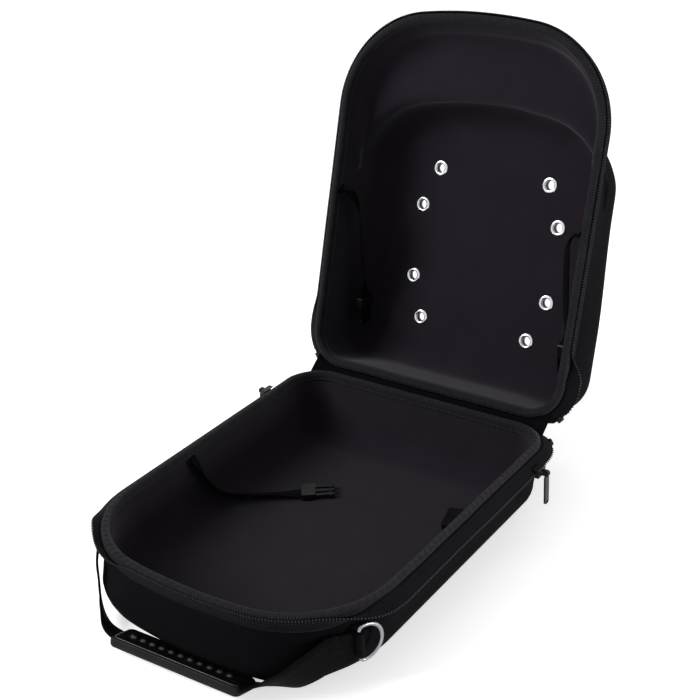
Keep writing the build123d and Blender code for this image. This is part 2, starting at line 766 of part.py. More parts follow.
with BuildPart() as slider_right:
    with BuildSketch(Plane.XZ.offset(-slider_y)):
        with Locations((coil_x, coil_z)):
            RectangleRounded(slider_width, slider_height, slider_edge_radius)
    extrude(amount=slider_length / 2, both=True)
    with BuildSketch(Plane.XZ.offset(-slider_y)):
        with Locations((coil_x, coil_z)):
            Circle(coil_radius + slider_clearance)
        with BuildLine():
            Polyline(
                (coil_x, coil_z - tape_slot / 2),
                (coil_x, coil_z + tape_slot),
                (coil_x - coil_reach, coil_z + tape_slot + coil_reach),
                (coil_x - coil_reach, coil_z - tape_slot / 2 + coil_reach - tape_slot / 2),
                (coil_x - coil_radius, coil_z - tape_slot / 2),
                close=True,
            )
        make_face()
    extrude(amount=slider_length, both=True, mode=Mode.SUBTRACT)
    with BuildSketch(Plane.XY.offset(coil_z)):
        with Locations((coil_x + slider_width / 2 + bridge_reach / 2, slider_y)):
            Rectangle(bridge_reach, bridge_length)
            with Locations((-bridge_bar_radius, 0)):
                Rectangle(bridge_reach, bridge_length - 2 * bridge_arm_width, mode=Mode.SUBTRACT)
    extrude(amount=bridge_bar_radius, both=True)
    with BuildSketch(Plane.XZ.offset(-slider_y)):
        with Locations((bar_x, coil_z)):
            Circle(bridge_bar_radius)
    extrude(amount=bridge_length / 2, both=True)
slider_right.part.label = "slider_right"
export_step(slider_right.part, "parts/slider_right.step")

with BuildPart() as slider_left:
    mirror(slider_right.part, about=Plane.YZ)
slider_left.part.label = "slider_left"
export_step(slider_left.part, "parts/slider_left.step")

# Pull tabs: a flat tongue with an eye round the bridge bar
with BuildPart() as pull_tab_right:
    with BuildSketch(Plane.XZ.offset(-slider_y)):
        with Locations((bar_x, coil_z)):
            Circle(tab_eye_radius)
            Circle(bridge_bar_radius + tab_clearance, mode=Mode.SUBTRACT)
    extrude(amount=tab_eye_width / 2, both=True)
    with BuildSketch(Plane(origin=(bar_x, slider_y, coil_z), x_dir=(0, 1, 0), z_dir=(1, 0, 0))):
        with Locations((0, -tab_length / 2 - tab_eye_radius + tab_neck)):
            RectangleRounded(tab_width, tab_length, tab_corner_radius)
        with Locations((0, -tab_length)):
            Circle(tab_hole_radius, mode=Mode.SUBTRACT)
    extrude(amount=tab_thickness / 2, both=True)
pull_tab_right.part.label = "pull_tab_right"
export_step(pull_tab_right.part, "parts/pull_tab_right.step")

with BuildPart() as pull_tab_left:
    mirror(pull_tab_right.part, about=Plane.YZ)
pull_tab_left.part.label = "pull_tab_left"
export_step(pull_tab_left.part, "parts/pull_tab_left.step")

print("pieces written:", len(os.listdir("parts")))
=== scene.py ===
# %% [markdown]
# # A soft-shell hat case, dressed around its frame
#
# The real object is a carrying case for caps. Two halves are pressed from EVA foam sheet with
# a woven cover on the outside and a brushed lining on the inside. A zip runs round the rim.
# The frame holds every piece at its real size, in metres, with +Z up and the hinge towards +Y.
# This script never moves a frame piece. It gives some of the hard ones a finish, and puts a
# modelled cloth, coil, strap, grip or eyelet in the place of the others.

from math import atan2, cos, pi, radians, sin, sqrt, tau

import bmesh
import bpy
import numpy as np
from mathutils import Matrix, Vector, noise


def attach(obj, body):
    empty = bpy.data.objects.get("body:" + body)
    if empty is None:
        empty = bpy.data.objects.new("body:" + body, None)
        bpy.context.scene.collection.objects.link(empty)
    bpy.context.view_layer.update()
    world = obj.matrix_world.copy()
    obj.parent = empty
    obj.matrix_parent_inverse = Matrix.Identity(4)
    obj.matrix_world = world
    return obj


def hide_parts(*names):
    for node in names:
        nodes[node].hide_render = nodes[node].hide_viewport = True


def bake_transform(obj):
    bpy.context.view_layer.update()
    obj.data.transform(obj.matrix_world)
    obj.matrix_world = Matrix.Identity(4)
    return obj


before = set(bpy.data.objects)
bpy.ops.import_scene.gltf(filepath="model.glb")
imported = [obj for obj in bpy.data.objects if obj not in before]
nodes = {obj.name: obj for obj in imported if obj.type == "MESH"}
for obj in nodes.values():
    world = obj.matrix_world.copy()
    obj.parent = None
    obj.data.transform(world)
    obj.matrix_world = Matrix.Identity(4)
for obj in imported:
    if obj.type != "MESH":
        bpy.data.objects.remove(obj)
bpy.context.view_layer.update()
MM = 0.001

# %% [markdown]
# ## The camera comes first
#
# Everything is judged through one view, so it is settled before any surface is made. A camera
# can be placed by hand until the picture looks right, or solved from the sizes of the object
# and where its corners lie in the photograph. The second way was used: the place, the aim and
# the slight roll below are its answer. The lens is long, so the case has little perspective.

# %% Camera
CAMERA_PLACE = Vector((0.5339, -0.6675, 0.5984))
CAMERA_AIM = Vector((0.0014, 0.0541, 0.1559))
CAMERA_ROLL = radians(-3.55)
LENS = 66.16

camera_data = bpy.data.cameras.new("camera")
camera_data.lens = LENS
camera_data.sensor_width = 36
camera = bpy.data.objects.new("camera", camera_data)
bpy.context.scene.collection.objects.link(camera)
turn = (CAMERA_AIM - CAMERA_PLACE).to_track_quat("-Z", "Y").to_matrix()
turn = turn @ Matrix.Rotation(CAMERA_ROLL, 3, "Z")
camera.matrix_world = Matrix.Translation(CAMERA_PLACE) @ turn.to_4x4()
bpy.context.scene.camera = camera
print("camera stands", round((CAMERA_AIM - CAMERA_PLACE).length, 3), "m from its aim")

# %% [markdown]
# ## Colour and one helper for nodes
#
# A colour picked from a screen is in sRGB. The renderer works in linear light, so one function
# turns a hex value into linear numbers. A second small function adds a node, fills its sockets
# with values or with other nodes' outputs, and hands it back. Every material uses both.


# %% Colour and node helpers
def srgb(code):
    """Linear RGBA from a hex colour such as #28262b."""
    parts = [int(code[place:place + 2], 16) / 255 for place in (1, 3, 5)]
    linear = [part / 12.92 if part <= 0.04045 else ((part + 0.055) / 1.055) ** 2.4 for part in parts]
    return (*linear, 1.0)


def add(tree, kind, sockets=None, **settings):
    """A node of a kind, with its settings, and its sockets filled by a value or linked."""
    node = tree.nodes.new("ShaderNode" + kind)
    for name, value in settings.items():
        setattr(node, name, value)
    for name, value in (sockets or {}).items():
        if isinstance(value, bpy.types.NodeSocket):
            tree.links.new(value, node.inputs[name])
        else:
            node.inputs[name].default_value = value
    return node


def begin(name, **shader):
    """An empty material with its shader set. Gives the material, its tree and the shader."""
    material = bpy.data.materials.new(name)
    material.use_nodes = True
    tree = material.node_tree
    surface = tree.nodes["Principled BSDF"]
    for socket, value in shader.items():
        surface.inputs[socket.replace("_", " ")].default_value = value
    return material, tree, surface


def ripple(tree, value, pitch):
    """A sine of a coordinate in metres, one wave for each pitch in metres."""
    angle = add(tree, "Math", {0: value, 1: tau / pitch}, operation="MULTIPLY").outputs[0]
    return add(tree, "Math", {0: angle}, operation="SINE").outputs[0]


# %% [markdown]
# ## Woven and knitted finishes
#
# Cloth is nearly black here, so its pattern is seen only in how it takes light. Each cloth mesh
# below carries an attribute called cloth: how far a point lies along and across the fabric, in
# metres. Threads are drawn from it, so their spacing is a real size and follows every bend.
# A 600-denier polyester has about 18 threads to the centimetre. That is finer than a pixel of
# the render, so the threads are drawn two to three times as coarse as they are.


# %% Cloth materials
THREAD_SHARE, FUZZ_SHARE, FUZZ_SIZE, CLOTH_GLOSS, CLOTH_BUMP = 0.16, 0.7, 0.9 * MM, 0.03, 0.6


def cloth_material(name, dark, light, rough, sheen, height, depth, mottle):
    """Fabric whose threads come from a function of its tree and the two cloth coordinates."""
    material, tree, surface = begin(name, Roughness=rough, Sheen_Weight=sheen, Sheen_Roughness=0.5,
                                    Specular_IOR_Level=CLOTH_GLOSS)
    cloth = add(tree, "Attribute", attribute_name="cloth").outputs["Vector"]
    axes = add(tree, "SeparateXYZ", {0: cloth})
    threads = height(tree, axes.outputs[0], axes.outputs[1])
    place = add(tree, "TexCoord").outputs["Object"]
    fuzz = add(tree, "TexNoise", {"Vector": place, "Scale": 1 / FUZZ_SIZE, "Detail": 2.0}).outputs[0]
    patches = add(tree, "TexNoise", {"Vector": place, "Scale": 1 / mottle, "Detail": 3.0}).outputs[0]
    woven = {0: threads, 1: THREAD_SHARE, 2: patches}
    grain = add(tree, "Math", woven, operation="MULTIPLY_ADD").outputs[0]
    shade = add(tree, "Mix", {0: grain, 6: srgb(dark), 7: srgb(light)}, data_type="RGBA").outputs[2]
    relief = add(tree, "Math", {0: fuzz, 1: FUZZ_SHARE, 2: threads}, operation="MULTIPLY_ADD").outputs[0]
    bump = add(tree, "Bump", {"Height": relief, "Strength": CLOTH_BUMP, "Distance": depth})
    tree.links.new(shade, surface.inputs["Base Color"])
    tree.links.new(bump.outputs[0], surface.inputs["Normal"])
    return material


def plain_weave(pitch):
    """Over-and-under threads: two sines multiplied."""
    def height(tree, along, across):
        warp = ripple(tree, along, pitch)
        weft = ripple(tree, across, pitch)
        return add(tree, "Math", {0: warp, 1: weft}, operation="MULTIPLY").outputs[0]
    return height


def cross_ribs(pitch):
    """Ribs that run straight across a tape, as in grosgrain."""
    def height(tree, along, across):
        return ripple(tree, along, pitch)
    return height


def chevron(pitch, width):
    """Slanting ribs that turn back at the middle of a strap, as in herringbone webbing."""
    def height(tree, along, across):
        fold = add(tree, "Math", {0: across, 1: width / 2}, operation="PINGPONG").outputs[0]
        slant = add(tree, "Math", {0: along, 1: fold}, operation="ADD").outputs[0]
        return ripple(tree, slant, pitch)
    return height


shell_cover = cloth_material("woven_polyester_cover", "#060507", "#0c0b0e", 0.9, 0.006,
                             plain_weave(1.3 * MM), 0.22 * MM, 22 * MM)
lining_knit = cloth_material("brushed_tricot_lining", "#1e1a21", "#27212a", 0.95, 0.11,
                             cross_ribs(1.1 * MM), 0.03 * MM, 30 * MM)
binding_tape = cloth_material("grosgrain_binding", "#151418", "#26252a", 0.8, 0.07,
                              cross_ribs(1.6 * MM), 0.25 * MM, 9 * MM)
zip_tape = cloth_material("twill_zip_tape", "#0b0a0d", "#151418", 0.85, 0.02,
                          chevron(1.4 * MM, 5 * MM), 0.2 * MM, 12 * MM)
strap_webbing = cloth_material("polypropylene_webbing", "#050506", "#0b0a0d", 0.65, 0.002,
                               chevron(2.0 * MM, 12 * MM), 0.35 * MM, 15 * MM)
print("cloths:", [m.name for m in (shell_cover, lining_knit, binding_tape, zip_tape, strap_webbing)])

# %% [markdown]
# ## Moulded plastic, rubber and metal
#
# The buckles are acetal from a polished mould and the zip's coil is drawn nylon, so both are
# smooth with a soft gloss and the odd scuff. The grip is a softer rubber-like plastic with a
# fine spark-eroded grain. Eyelets are steel with bright nickel plate. Their barrels are given a
# dark grey steel as painted shade, for the shadow and dark reflection down the hole. The rings
# have a satin plate. The sliders are zinc castings under black lacquer.


# %% Hard materials
WEAR_SIZE, WEAR_FROM, WEAR_TO, HARD_BUMP = 14 * MM, 0.35, 0.7, 0.5


def hard_material(name, colour, rough, grain, depth, scuff=0.08, **shader):
    """Moulded or plated surface: an even colour, a fine grain in mm and patches of wear."""
    material, tree, surface = begin(name, Base_Color=srgb(colour), **shader)
    place = add(tree, "TexCoord").outputs["Object"]
    fine = add(tree, "TexNoise", {"Vector": place, "Scale": 1 / grain, "Detail": 3.0}).outputs[0]
    worn = add(tree, "TexNoise", {"Vector": place, "Scale": 1 / WEAR_SIZE, "Detail": 4.0}).outputs[0]
    ends = {1: WEAR_FROM, 2: WEAR_TO, 3: rough - scuff, 4: rough + scuff}
    gloss = add(tree, "MapRange", {0: worn, **ends})
    bump = add(tree, "Bump", {"Height": fine, "Strength": HARD_BUMP, "Distance": depth})
    tree.links.new(gloss.outputs[0], surface.inputs["Roughness"])
    tree.links.new(bump.outputs[0], surface.inputs["Normal"])
    return material


acetal = hard_material("moulded_acetal", "#0c0c0e", 0.36, 0.8 * MM, 0.02 * MM, Specular_IOR_Level=0.22)
coil_nylon = hard_material("drawn_nylon", "#29282d", 0.45, 0.6 * MM, 0.02 * MM, Specular_IOR_Level=0.2)
# The bar's colour, a little lighter than the pad's, is painted light on the grip's lit front face. The
# pad's darker colour is painted shade on its top; only their gloss differs for real.
grip_shell = hard_material("soft_plastic_painted_light", "#100f12", 0.55, 0.5 * MM, 0.05 * MM,
                           Specular_IOR_Level=0.12)
grip_pad = hard_material("glossy_rubber_painted_shade", "#0b0b0d", 0.26, 0.7 * MM, 0.03 * MM, Specular_IOR_Level=0.5)
nickel = hard_material("nickel_plated_steel", "#d2d2d6", 0.18, 2.0 * MM, 0.01 * MM, Metallic=1.0)
ring_steel = hard_material("satin_nickel", "#8c8c91", 0.26, 2.0 * MM, 0.01 * MM, Metallic=1.0)
# Painted shade: the eyelet barrels take this dark grey for the shadow and dark reflection down the hole.
barrel_painted_shade = hard_material("steel_painted_shade", "#38383c", 0.4, 1.0 * MM, 0.03 * MM, Metallic=1.0)
lacquer = hard_material("lacquered_zinc", "#0e0e10", 0.4, 1.5 * MM, 0.02 * MM, Specular_IOR_Level=0.25)
thread = hard_material("polyester_thread", "#1d1c20", 0.6, 0.4 * MM, 0.05 * MM, Specular_IOR_Level=0.2)
hard = (acetal, coil_nylon, grip_shell, grip_pad, nickel, ring_steel, barrel_painted_shade, lacquer, thread)
print("hard finishes:", [m.name for m in hard])

# %% [markdown]
# ## The rim, a line that everything follows
#
# Both halves share one D-shaped rim: straight at the hinge, two tight corners, two straight
# sides and a blunt round front. Shell, lining, binding, tape and teeth are all this line moved
# in or out and up or down. So the line is built once, from its radii, as points that carry the
# direction straight out of the case. The lid's crown well has a shorter D of its own. Both are
# cut at the same places along the sides, so that a column of one can be joined to the other.

# %% Rim outlines
HINGE_Y, RIM_Z = 162.0, 66.0
LID_LEAN = radians(18)
HALF_WIDTH, HINGE_GAP, BACK_RADIUS = 125.0, 3.0, 32.0
CASE_LENGTH, SIDE_RADIUS, FRONT_RADIUS = 318.0, 82.0, 435.0
CROWN_LENGTH, CROWN_SIDE_RADIUS, CROWN_FRONT_RADIUS = 254.0, 74.0, 330.0
FINE_STEP, HINGE_STEPS, SIDE_STEPS = 0.4, 200, 400
SHARED_COLUMNS, UPPER_COLUMNS = 84, 68


def arc_points(centre, radius, start, end):
    """Points and outward directions along an arc, with angles in radians."""
    angles = np.linspace(start, end, max(3, int(radius * abs(end - start) / FINE_STEP)))
    out = np.stack([np.cos(angles), np.sin(angles)], axis=1)
    return np.array(centre) + radius * out, out


def half_outline(length, side_radius, front_radius):
    """Dense half of a D from the hinge's middle to the front's: distance, points, directions."""
    front_centre = HINGE_GAP + length - front_radius
    side_x = HALF_WIDTH - side_radius
    side_v = front_centre + sqrt((front_radius - side_radius) ** 2 - side_x ** 2)
    turn_over = atan2(side_v - front_centre, side_x)
    corner = (HALF_WIDTH - BACK_RADIUS, HINGE_GAP + BACK_RADIUS)
    hinge_x = np.linspace(0, corner[0], HINGE_STEPS)
    side_y = np.linspace(corner[1], side_v, SIDE_STEPS)
    parts = [
        (np.stack([hinge_x, np.full(HINGE_STEPS, HINGE_GAP)], axis=1),
         np.tile([0.0, -1.0], (HINGE_STEPS, 1))),
        arc_points(corner, BACK_RADIUS, -pi / 2, 0),
        (np.stack([np.full(SIDE_STEPS, HALF_WIDTH), side_y], axis=1),
         np.tile([1.0, 0.0], (SIDE_STEPS, 1))),
        arc_points((side_x, side_v), side_radius, 0, turn_over),
        arc_points((0, front_centre), front_radius, turn_over, pi / 2),
    ]
    points = np.concatenate([part[0] for part in parts])
    out = np.concatenate([part[1] for part in parts])
    distance = np.concatenate([[0], np.cumsum(np.linalg.norm(np.diff(points, axis=0), axis=1))])
    side_start = distance[HINGE_STEPS + len(parts[1][0])]
    return distance, points, out, side_start + side_v - corner[1]


def full_outline(outline, stops):
    """Columns at the given distances along a half, and their mirror back to the hinge."""
    distance, points, out, _ = outline
    half = [np.interp(stops, distance, column) for column in (*points.T, *out.T)]
    half = np.stack(half, axis=1)
    other = half[-2::-1] * [-1, 1, -1, 1]
    return np.concatenate([half, other])


case_half = half_outline(CASE_LENGTH, SIDE_RADIUS, FRONT_RADIUS)
crown_half = half_outline(CROWN_LENGTH, CROWN_SIDE_RADIUS, CROWN_FRONT_RADIUS)
parting = crown_half[3]
shared_stops = np.linspace(0, parting, SHARED_COLUMNS)[:-1]
rim, crown = [
    full_outline(half, [*shared_stops, *np.linspace(parting, half[0][-1], UPPER_COLUMNS)])
    for half in (case_half, crown_half)
]
rim_run = np.concatenate([[0], np.cumsum(np.linalg.norm(np.diff(rim[:, :2], axis=0), axis=1))])
print("rim:", len(rim), "columns,", round(rim_run[-1]), "mm round")

# %% [markdown]
# ## From the rim to the room
#
# A column is given across the case, along it from the hinge, and in depth from the rim. For the
# tray depth goes down. For the lid, which stands open and leans back, it goes away from the
# viewer. Two short functions turn such triples into places in the frame, in metres. Every mesh
# here is a grid of rows and columns, so one function makes them all. Points that meet are
# merged, which closes rings and tips, and the normals are turned outwards.


# %% Placing and meshing
MERGE_WITHIN = 2e-6


def in_tray(x, v, depth):
    """Places in the frame of points given by the tray's rim."""
    x, v, depth = np.broadcast_arrays(x, v, depth)
    return np.stack([x, HINGE_Y - v, RIM_Z - depth], axis=-1) * MM


def in_lid(x, v, depth):
    """Places in the frame of points given by the lid's rim."""
    x, v, depth = np.broadcast_arrays(x, v, depth)
    return np.stack([x, HINGE_Y + v * sin(LID_LEAN) + depth * cos(LID_LEAN),
                     RIM_Z + v * cos(LID_LEAN) - depth * sin(LID_LEAN)], axis=-1) * MM


def finish_mesh(name, points, faces, material, cloth=None, merge=True):
    """An object from arrays. cloth holds two numbers for each corner of each face, in metres."""
    mesh = bpy.data.meshes.new(name)
    mesh.from_pydata(points.tolist(), [], faces.tolist() if hasattr(faces, "tolist") else faces)
    if cloth is not None:
        layer = mesh.attributes.new("cloth", "FLOAT_VECTOR", "CORNER")
        flat = np.concatenate([cloth.reshape(-1, 2), np.zeros((cloth.size // 2, 1))], axis=1)
        layer.data.foreach_set("vector", flat.ravel())
    body = bmesh.new()
    body.from_mesh(mesh)
    if merge:
        bmesh.ops.remove_doubles(body, verts=body.verts, dist=MERGE_WITHIN)
        bmesh.ops.dissolve_degenerate(body, edges=body.edges, dist=MERGE_WITHIN)
    bmesh.ops.recalc_face_normals(body, faces=body.faces)
    for face in body.faces:
        face.smooth = True
    body.to_mesh(mesh)
    body.free()
    mesh.materials.append(material)
    piece = bpy.data.objects.new(name, mesh)
    bpy.context.scene.collection.objects.link(piece)
    return piece


def cloth_grid(name, points, cloth, material):
    """A sheet or closed skin from rows of points and their places along and across the cloth."""
    rows, columns = points.shape[:2]
    index = np.arange(rows * columns).reshape(rows, columns)
    faces = np.stack([index[:-1, :-1], index[:-1, 1:], index[1:, 1:], index[1:, :-1]], axis=-1)
    faces = faces.reshape(-1, 4)
    return finish_mesh(name, points.reshape(-1, 3), faces, material, cloth.reshape(-1, 2)[faces])


def wander(columns, height, length, seed):
    """Smooth noise along the rim, in mm, one value for each column and the same at both ends."""
    return np.array([
        height * noise.noise(Vector((x / length, v / length, seed)))
        for x, v in columns[:, :2]
    ])


# %% [markdown]
# ## The tray's shell and lining
#
# The real shell is one pressed sheet: upright walls that draw in a little towards a soft lower
# edge. It could be cut from a box with rounded edges. Here its section is swept round the rim
# instead, so that the walls draw in as pressed foam does, and the floor is closed by rows that
# shrink to the middle. The lining is the same section, moved in by the foam's thickness. Cloth
# coordinates are those of the flat sheet before it was pressed, which stretch at the corners.

# %% Tray shell and lining
TRAY_DEPTH, WALL_TOP = 66.0, 5.0
TRAY_DRAFT, TRAY_EDGE = 4.5, 26.0
FRONT_FLARE = 6.5
FLARE_FROM, FLARE_TO, RIGHT_FROM, RIGHT_TO = 250, 312, 85, 112
FOAM, LINING_OUTER, LINING_INNER = 3.9, 4.1, 5.3
WALL_ROWS, BEND_ROWS, FLOOR_ROWS, DRAW_POWER = 9, 10, 16, 1.5


def rise(value, start, end):
    """Smooth step, 0 at start and 1 at end."""
    part = np.clip((value - start) / (end - start), 0, 1)
    return part * part * (3 - 2 * part)


in_front = rise(rim[:, 1], FLARE_FROM, FLARE_TO)
front_right = rise(rim[:, 0], RIGHT_FROM, RIGHT_TO)
tray_draw = TRAY_DRAFT - (TRAY_DRAFT + FRONT_FLARE * (1 - front_right)) * in_front


def tray_skin(offset):
    """Rows of one face of the tray, offset mm inside the outer face: points and sheet places."""
    wall = np.linspace(WALL_TOP, TRAY_DEPTH - TRAY_EDGE, WALL_ROWS)[:, None]
    drawn = ((wall - WALL_TOP) / (TRAY_DEPTH - TRAY_EDGE - WALL_TOP)) ** DRAW_POWER
    inset = offset + tray_draw * drawn
    bend = np.linspace(0, pi / 2, BEND_ROWS)[1:, None]
    radius = TRAY_EDGE - offset
    inset = np.concatenate([inset, inset[-1:] + radius * (1 - np.cos(bend))])
    depth = np.concatenate([wall, TRAY_DEPTH - TRAY_EDGE + radius * np.sin(bend)])
    ring = rim[None, :, :2] - rim[None, :, 2:] * inset[:, :, None]
    middle = np.array([0.0, HINGE_GAP + CASE_LENGTH / 2])
    shrink = np.linspace(1, 0, FLOOR_ROWS)[1:, None, None]
    ring = np.concatenate([ring, middle + (ring[-1:] - middle) * shrink])
    depth = np.concatenate([depth, np.full((FLOOR_ROWS - 1, 1), depth[-1, 0])])
    return in_tray(ring[..., 0], ring[..., 1], depth), ring * MM


def pressed_sheet(name, skin, outer, inner, material):
    """Closed sheet between two faces of a skin function, joined round its rim."""
    far, far_cloth = skin(outer)
    near, near_cloth = skin(inner)
    points = np.concatenate([far, near[::-1], far[:1]])
    cloth = np.concatenate([far_cloth, near_cloth[::-1], far_cloth[:1]])
    return cloth_grid(name, points, cloth, material)


tray_cover = pressed_sheet("tray_cover", tray_skin, 0.0, FOAM, shell_cover)
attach(tray_cover, "tray")
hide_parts("tray_shell")

tray_inside = pressed_sheet("tray_inside", tray_skin, LINING_OUTER, LINING_INNER, lining_knit)
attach(tray_inside, "tray")
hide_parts("tray_lining")
print("tray cover:", len(tray_cover.data.vertices), "points")

# %% [markdown]
# ## The lid, with its brim shelf and crown well
#
# The lid is pressed in two steps: a shallow shelf where the caps' brims lie, and a deeper well
# for their crowns, as wide as the lid but shorter. Each column of the rim is joined to the
# same column of the well's outline. Where the two lie apart there is a wall, a bend, the shelf
# and a rounded step down. Where they coincide, along the sides and the hinge, these shrink to
# nothing and the wall goes straight down.

# %% Lid shell and lining
BRIM_DEPTH, BRIM_EDGE, BRIM_DRAW = 34.0, 16.0, 8.0
CROWN_DEPTH, CROWN_EDGE, CROWN_SWELL = 74.0, 28.0, 3.0
STEP_RADIUS, BRIM_POWER, MOST_OF_REACH = 4.0, 1.4, 0.6
BRIM_NARROWS, SWELL_BEGINS, SWELL_TURNS, SWELL_ENDS = (170, 205), (60, 118), (70, 180), (180, 215)
BRIM_ROWS, EDGE_ROWS, SHELF_ROWS, STEP_ROWS, WELL_ROWS, CROWN_ROWS = 6, 7, 8, 6, 4, 9

brim_draw = BRIM_DRAW * rise(rim[:, 1], *BRIM_NARROWS)
side_swell = CROWN_SWELL * rise(np.abs(rim[:, 0]), *SWELL_BEGINS) * (1 - 2 * rise(rim[:, 1], *SWELL_TURNS))
side_swell = side_swell * (1 - rise(rim[:, 1], *SWELL_ENDS))


def lid_skin(offset):
    """Rows of one face of the lid, offset mm inside the outer face: points and sheet places."""
    base = rim[:, :2] - rim[:, 2:] * offset
    well = crown[:, :2] - crown[:, 2:] * offset
    drawn = np.minimum(brim_draw, MOST_OF_REACH * np.linalg.norm(well - base, axis=1))
    low = base - rim[:, 2:] * drawn[:, None]
    reach = np.linalg.norm(well - low, axis=1)
    towards = (well - low) / np.maximum(reach, 1e-6)[:, None]
    shelf = BRIM_DEPTH - offset
    edge = np.minimum(BRIM_EDGE - offset, reach)
    step = np.minimum(STEP_RADIUS + offset, reach - edge)
    wall_end = CROWN_DEPTH - CROWN_EDGE
    rows = [(base + (low - base) * part ** BRIM_POWER, WALL_TOP + (shelf - edge - WALL_TOP) * part)
            for part in np.linspace(0, 1, BRIM_ROWS)]
    for angle in np.linspace(0, pi / 2, EDGE_ROWS)[1:]:
        rows.append((low + towards * (edge * (1 - cos(angle)))[:, None], shelf - edge * (1 - sin(angle))))
    for part in np.linspace(0, 1, SHELF_ROWS)[1:]:
        rows.append((low + towards * (edge + (reach - step - edge) * part)[:, None], shelf + 0 * reach))
    for angle in np.linspace(0, pi / 2, STEP_ROWS)[1:]:
        rows.append((well - towards * (step * (1 - sin(angle)))[:, None], shelf + step * (1 - cos(angle))))
    for part in np.linspace(0, 1, WELL_ROWS)[1:]:
        rows.append((well, shelf + step + (wall_end - shelf - step) * part))
    radius = CROWN_EDGE - offset
    for angle in np.linspace(0, pi / 2, CROWN_ROWS)[1:]:
        inward = crown[:, 2:] * (radius * (1 - cos(angle)))
        rows.append((well - inward, wall_end + radius * sin(angle) + 0 * reach))
    for number, (ring, depth) in enumerate(rows):
        swell = side_swell * np.sin(pi * (depth - WALL_TOP) / (CROWN_DEPTH - WALL_TOP))
        rows[number] = (ring + rim[:, 2:] * swell[:, None], depth)
    middle = np.array([0.0, HINGE_GAP + CROWN_LENGTH / 2])
    last, deep = rows[-1]
    rows += [(middle + (last - middle) * part, deep) for part in np.linspace(1, 0, FLOOR_ROWS)[1:]]
    ring = np.stack([row[0] for row in rows])
    depth = np.stack([row[1] for row in rows])
    return in_lid(ring[..., 0], ring[..., 1], depth), ring * MM


lid_cover = pressed_sheet("lid_cover", lid_skin, 0.0, FOAM, shell_cover)
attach(lid_cover, "lid")
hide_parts("lid_shell")

lid_inside = pressed_sheet("lid_inside", lid_skin, LINING_OUTER, LINING_INNER, lining_knit)
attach(lid_inside, "lid")
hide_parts("lid_lining")
print("lid cover:", len(lid_cover.data.vertices), "points")

# %% [markdown]
# ## Threads, teeth and anything swept round the rim
#
# A stitch, a zip tooth and a cord are all short round paths, so one function makes any number
# of them at once. A second one sweeps a section round the rim. The section may change from
# column to column, which lets a tape stand up in one place and lie down in another. The sweep
# gives each point its place along and across the cloth, so that threads follow it.


# %% Tubes and rim sweeps
TIP_REACH, TIP_GIRTH = 0.6, 0.3


def unit(vectors):
    """Vectors brought to length one."""
    return vectors / np.maximum(np.linalg.norm(vectors, axis=-1, keepdims=True), 1e-9)


def tubes(name, paths, aside, radius, material, sides=6):
    """Round threads along many paths (count, points, 3) in metres, with rounded ends."""
    tangent = unit(np.gradient(paths, axis=1))
    aside = unit(aside - tangent * np.sum(aside * tangent, axis=-1, keepdims=True))
    third = np.cross(tangent, aside)
    reach = radius * TIP_REACH
    tips = [paths[:, :1] - tangent[:, :1] * reach, paths[:, -1:] + tangent[:, -1:] * reach]
    middle = np.concatenate([tips[0], paths, tips[1]], axis=1)
    aside, third = [
        np.concatenate([side[:, :1], side, side[:, -1:]], axis=1) for side in (aside, third)
    ]
    girth = np.full(middle.shape[1], radius)
    girth[[0, -1]] = radius * TIP_GIRTH
    angle = np.linspace(0, tau, sides, endpoint=False)
    ring = cos_sin(angle, aside, third) * girth[None, :, None, None] + middle[:, :, None, :]
    count, length = ring.shape[:2]
    index = np.arange(count * length * sides).reshape(count, length, sides)
    turned = np.roll(index, -1, axis=2)
    walls = np.stack([index[:, :-1], turned[:, :-1], turned[:, 1:], index[:, 1:]], axis=-1).reshape(-1, 4)
    caps = [*index[:, 0, ::-1].tolist(), *index[:, -1].tolist()]
    return finish_mesh(name, ring.reshape(-1, 3), walls.tolist() + caps, material, merge=False)


def cos_sin(angle, first, second):
    """Points of a unit ring in the plane of two directions."""
    return (np.cos(angle)[:, None] * first[:, :, None, :] + np.sin(angle)[:, None] * second[:, :, None, :])


def rim_at(runs):
    """Columns of the rim, interpolated at distances in mm along it."""
    return np.stack([np.interp(runs % rim_run[-1], rim_run, part) for part in rim.T], axis=-1)


def beside_rim(place, runs, out, depth):
    """Places of points given by run, mm out from the rim and depth."""
    column = rim_at(runs)
    return place(column[..., 0] + column[..., 2] * out, column[..., 1] + column[..., 3] * out, depth)


def rim_sweep(name, place, runs, out, depth, material, closed_ends=False):
    """Closed section (rows of out and depth for each run) swept along the rim."""
    out, depth = [np.concatenate([rows, rows[:1]]) for rows in (out, depth)]
    steps = np.hypot(np.diff(out.mean(axis=1)), np.diff(depth.mean(axis=1)))
    across = np.concatenate([[0], np.cumsum(steps)])
    points = beside_rim(place, np.broadcast_to(runs, out.shape), out, depth)
    if closed_ends:
        middles = [points[:-1, [side]].mean(axis=0, keepdims=True) for side in (0, -1)]
        ends = [np.repeat(middle, len(points), axis=0) for middle in middles]
        points = np.concatenate([ends[0], points, ends[1]], axis=1)
        runs = np.concatenate([runs[:1], runs, runs[-1:]])
    cloth = np.stack(np.broadcast_arrays(runs[None, :], across[:, None]), axis=-1) * MM
    return cloth_grid(name, points, cloth, material)


# %% [markdown]
# ## Binding and its overlock stitch
#
# A strip of grosgrain is folded over the raw edges of foam and lining and sewn through. On the
# real case it wavers a little, since it is guided by hand. A tube with a flat top would do, but
# the two flaps that lie on the walls are what makes it read as folded cloth. Slanting overlock
# threads cross the crest, and a straight row of lockstitch runs along the inner flap.

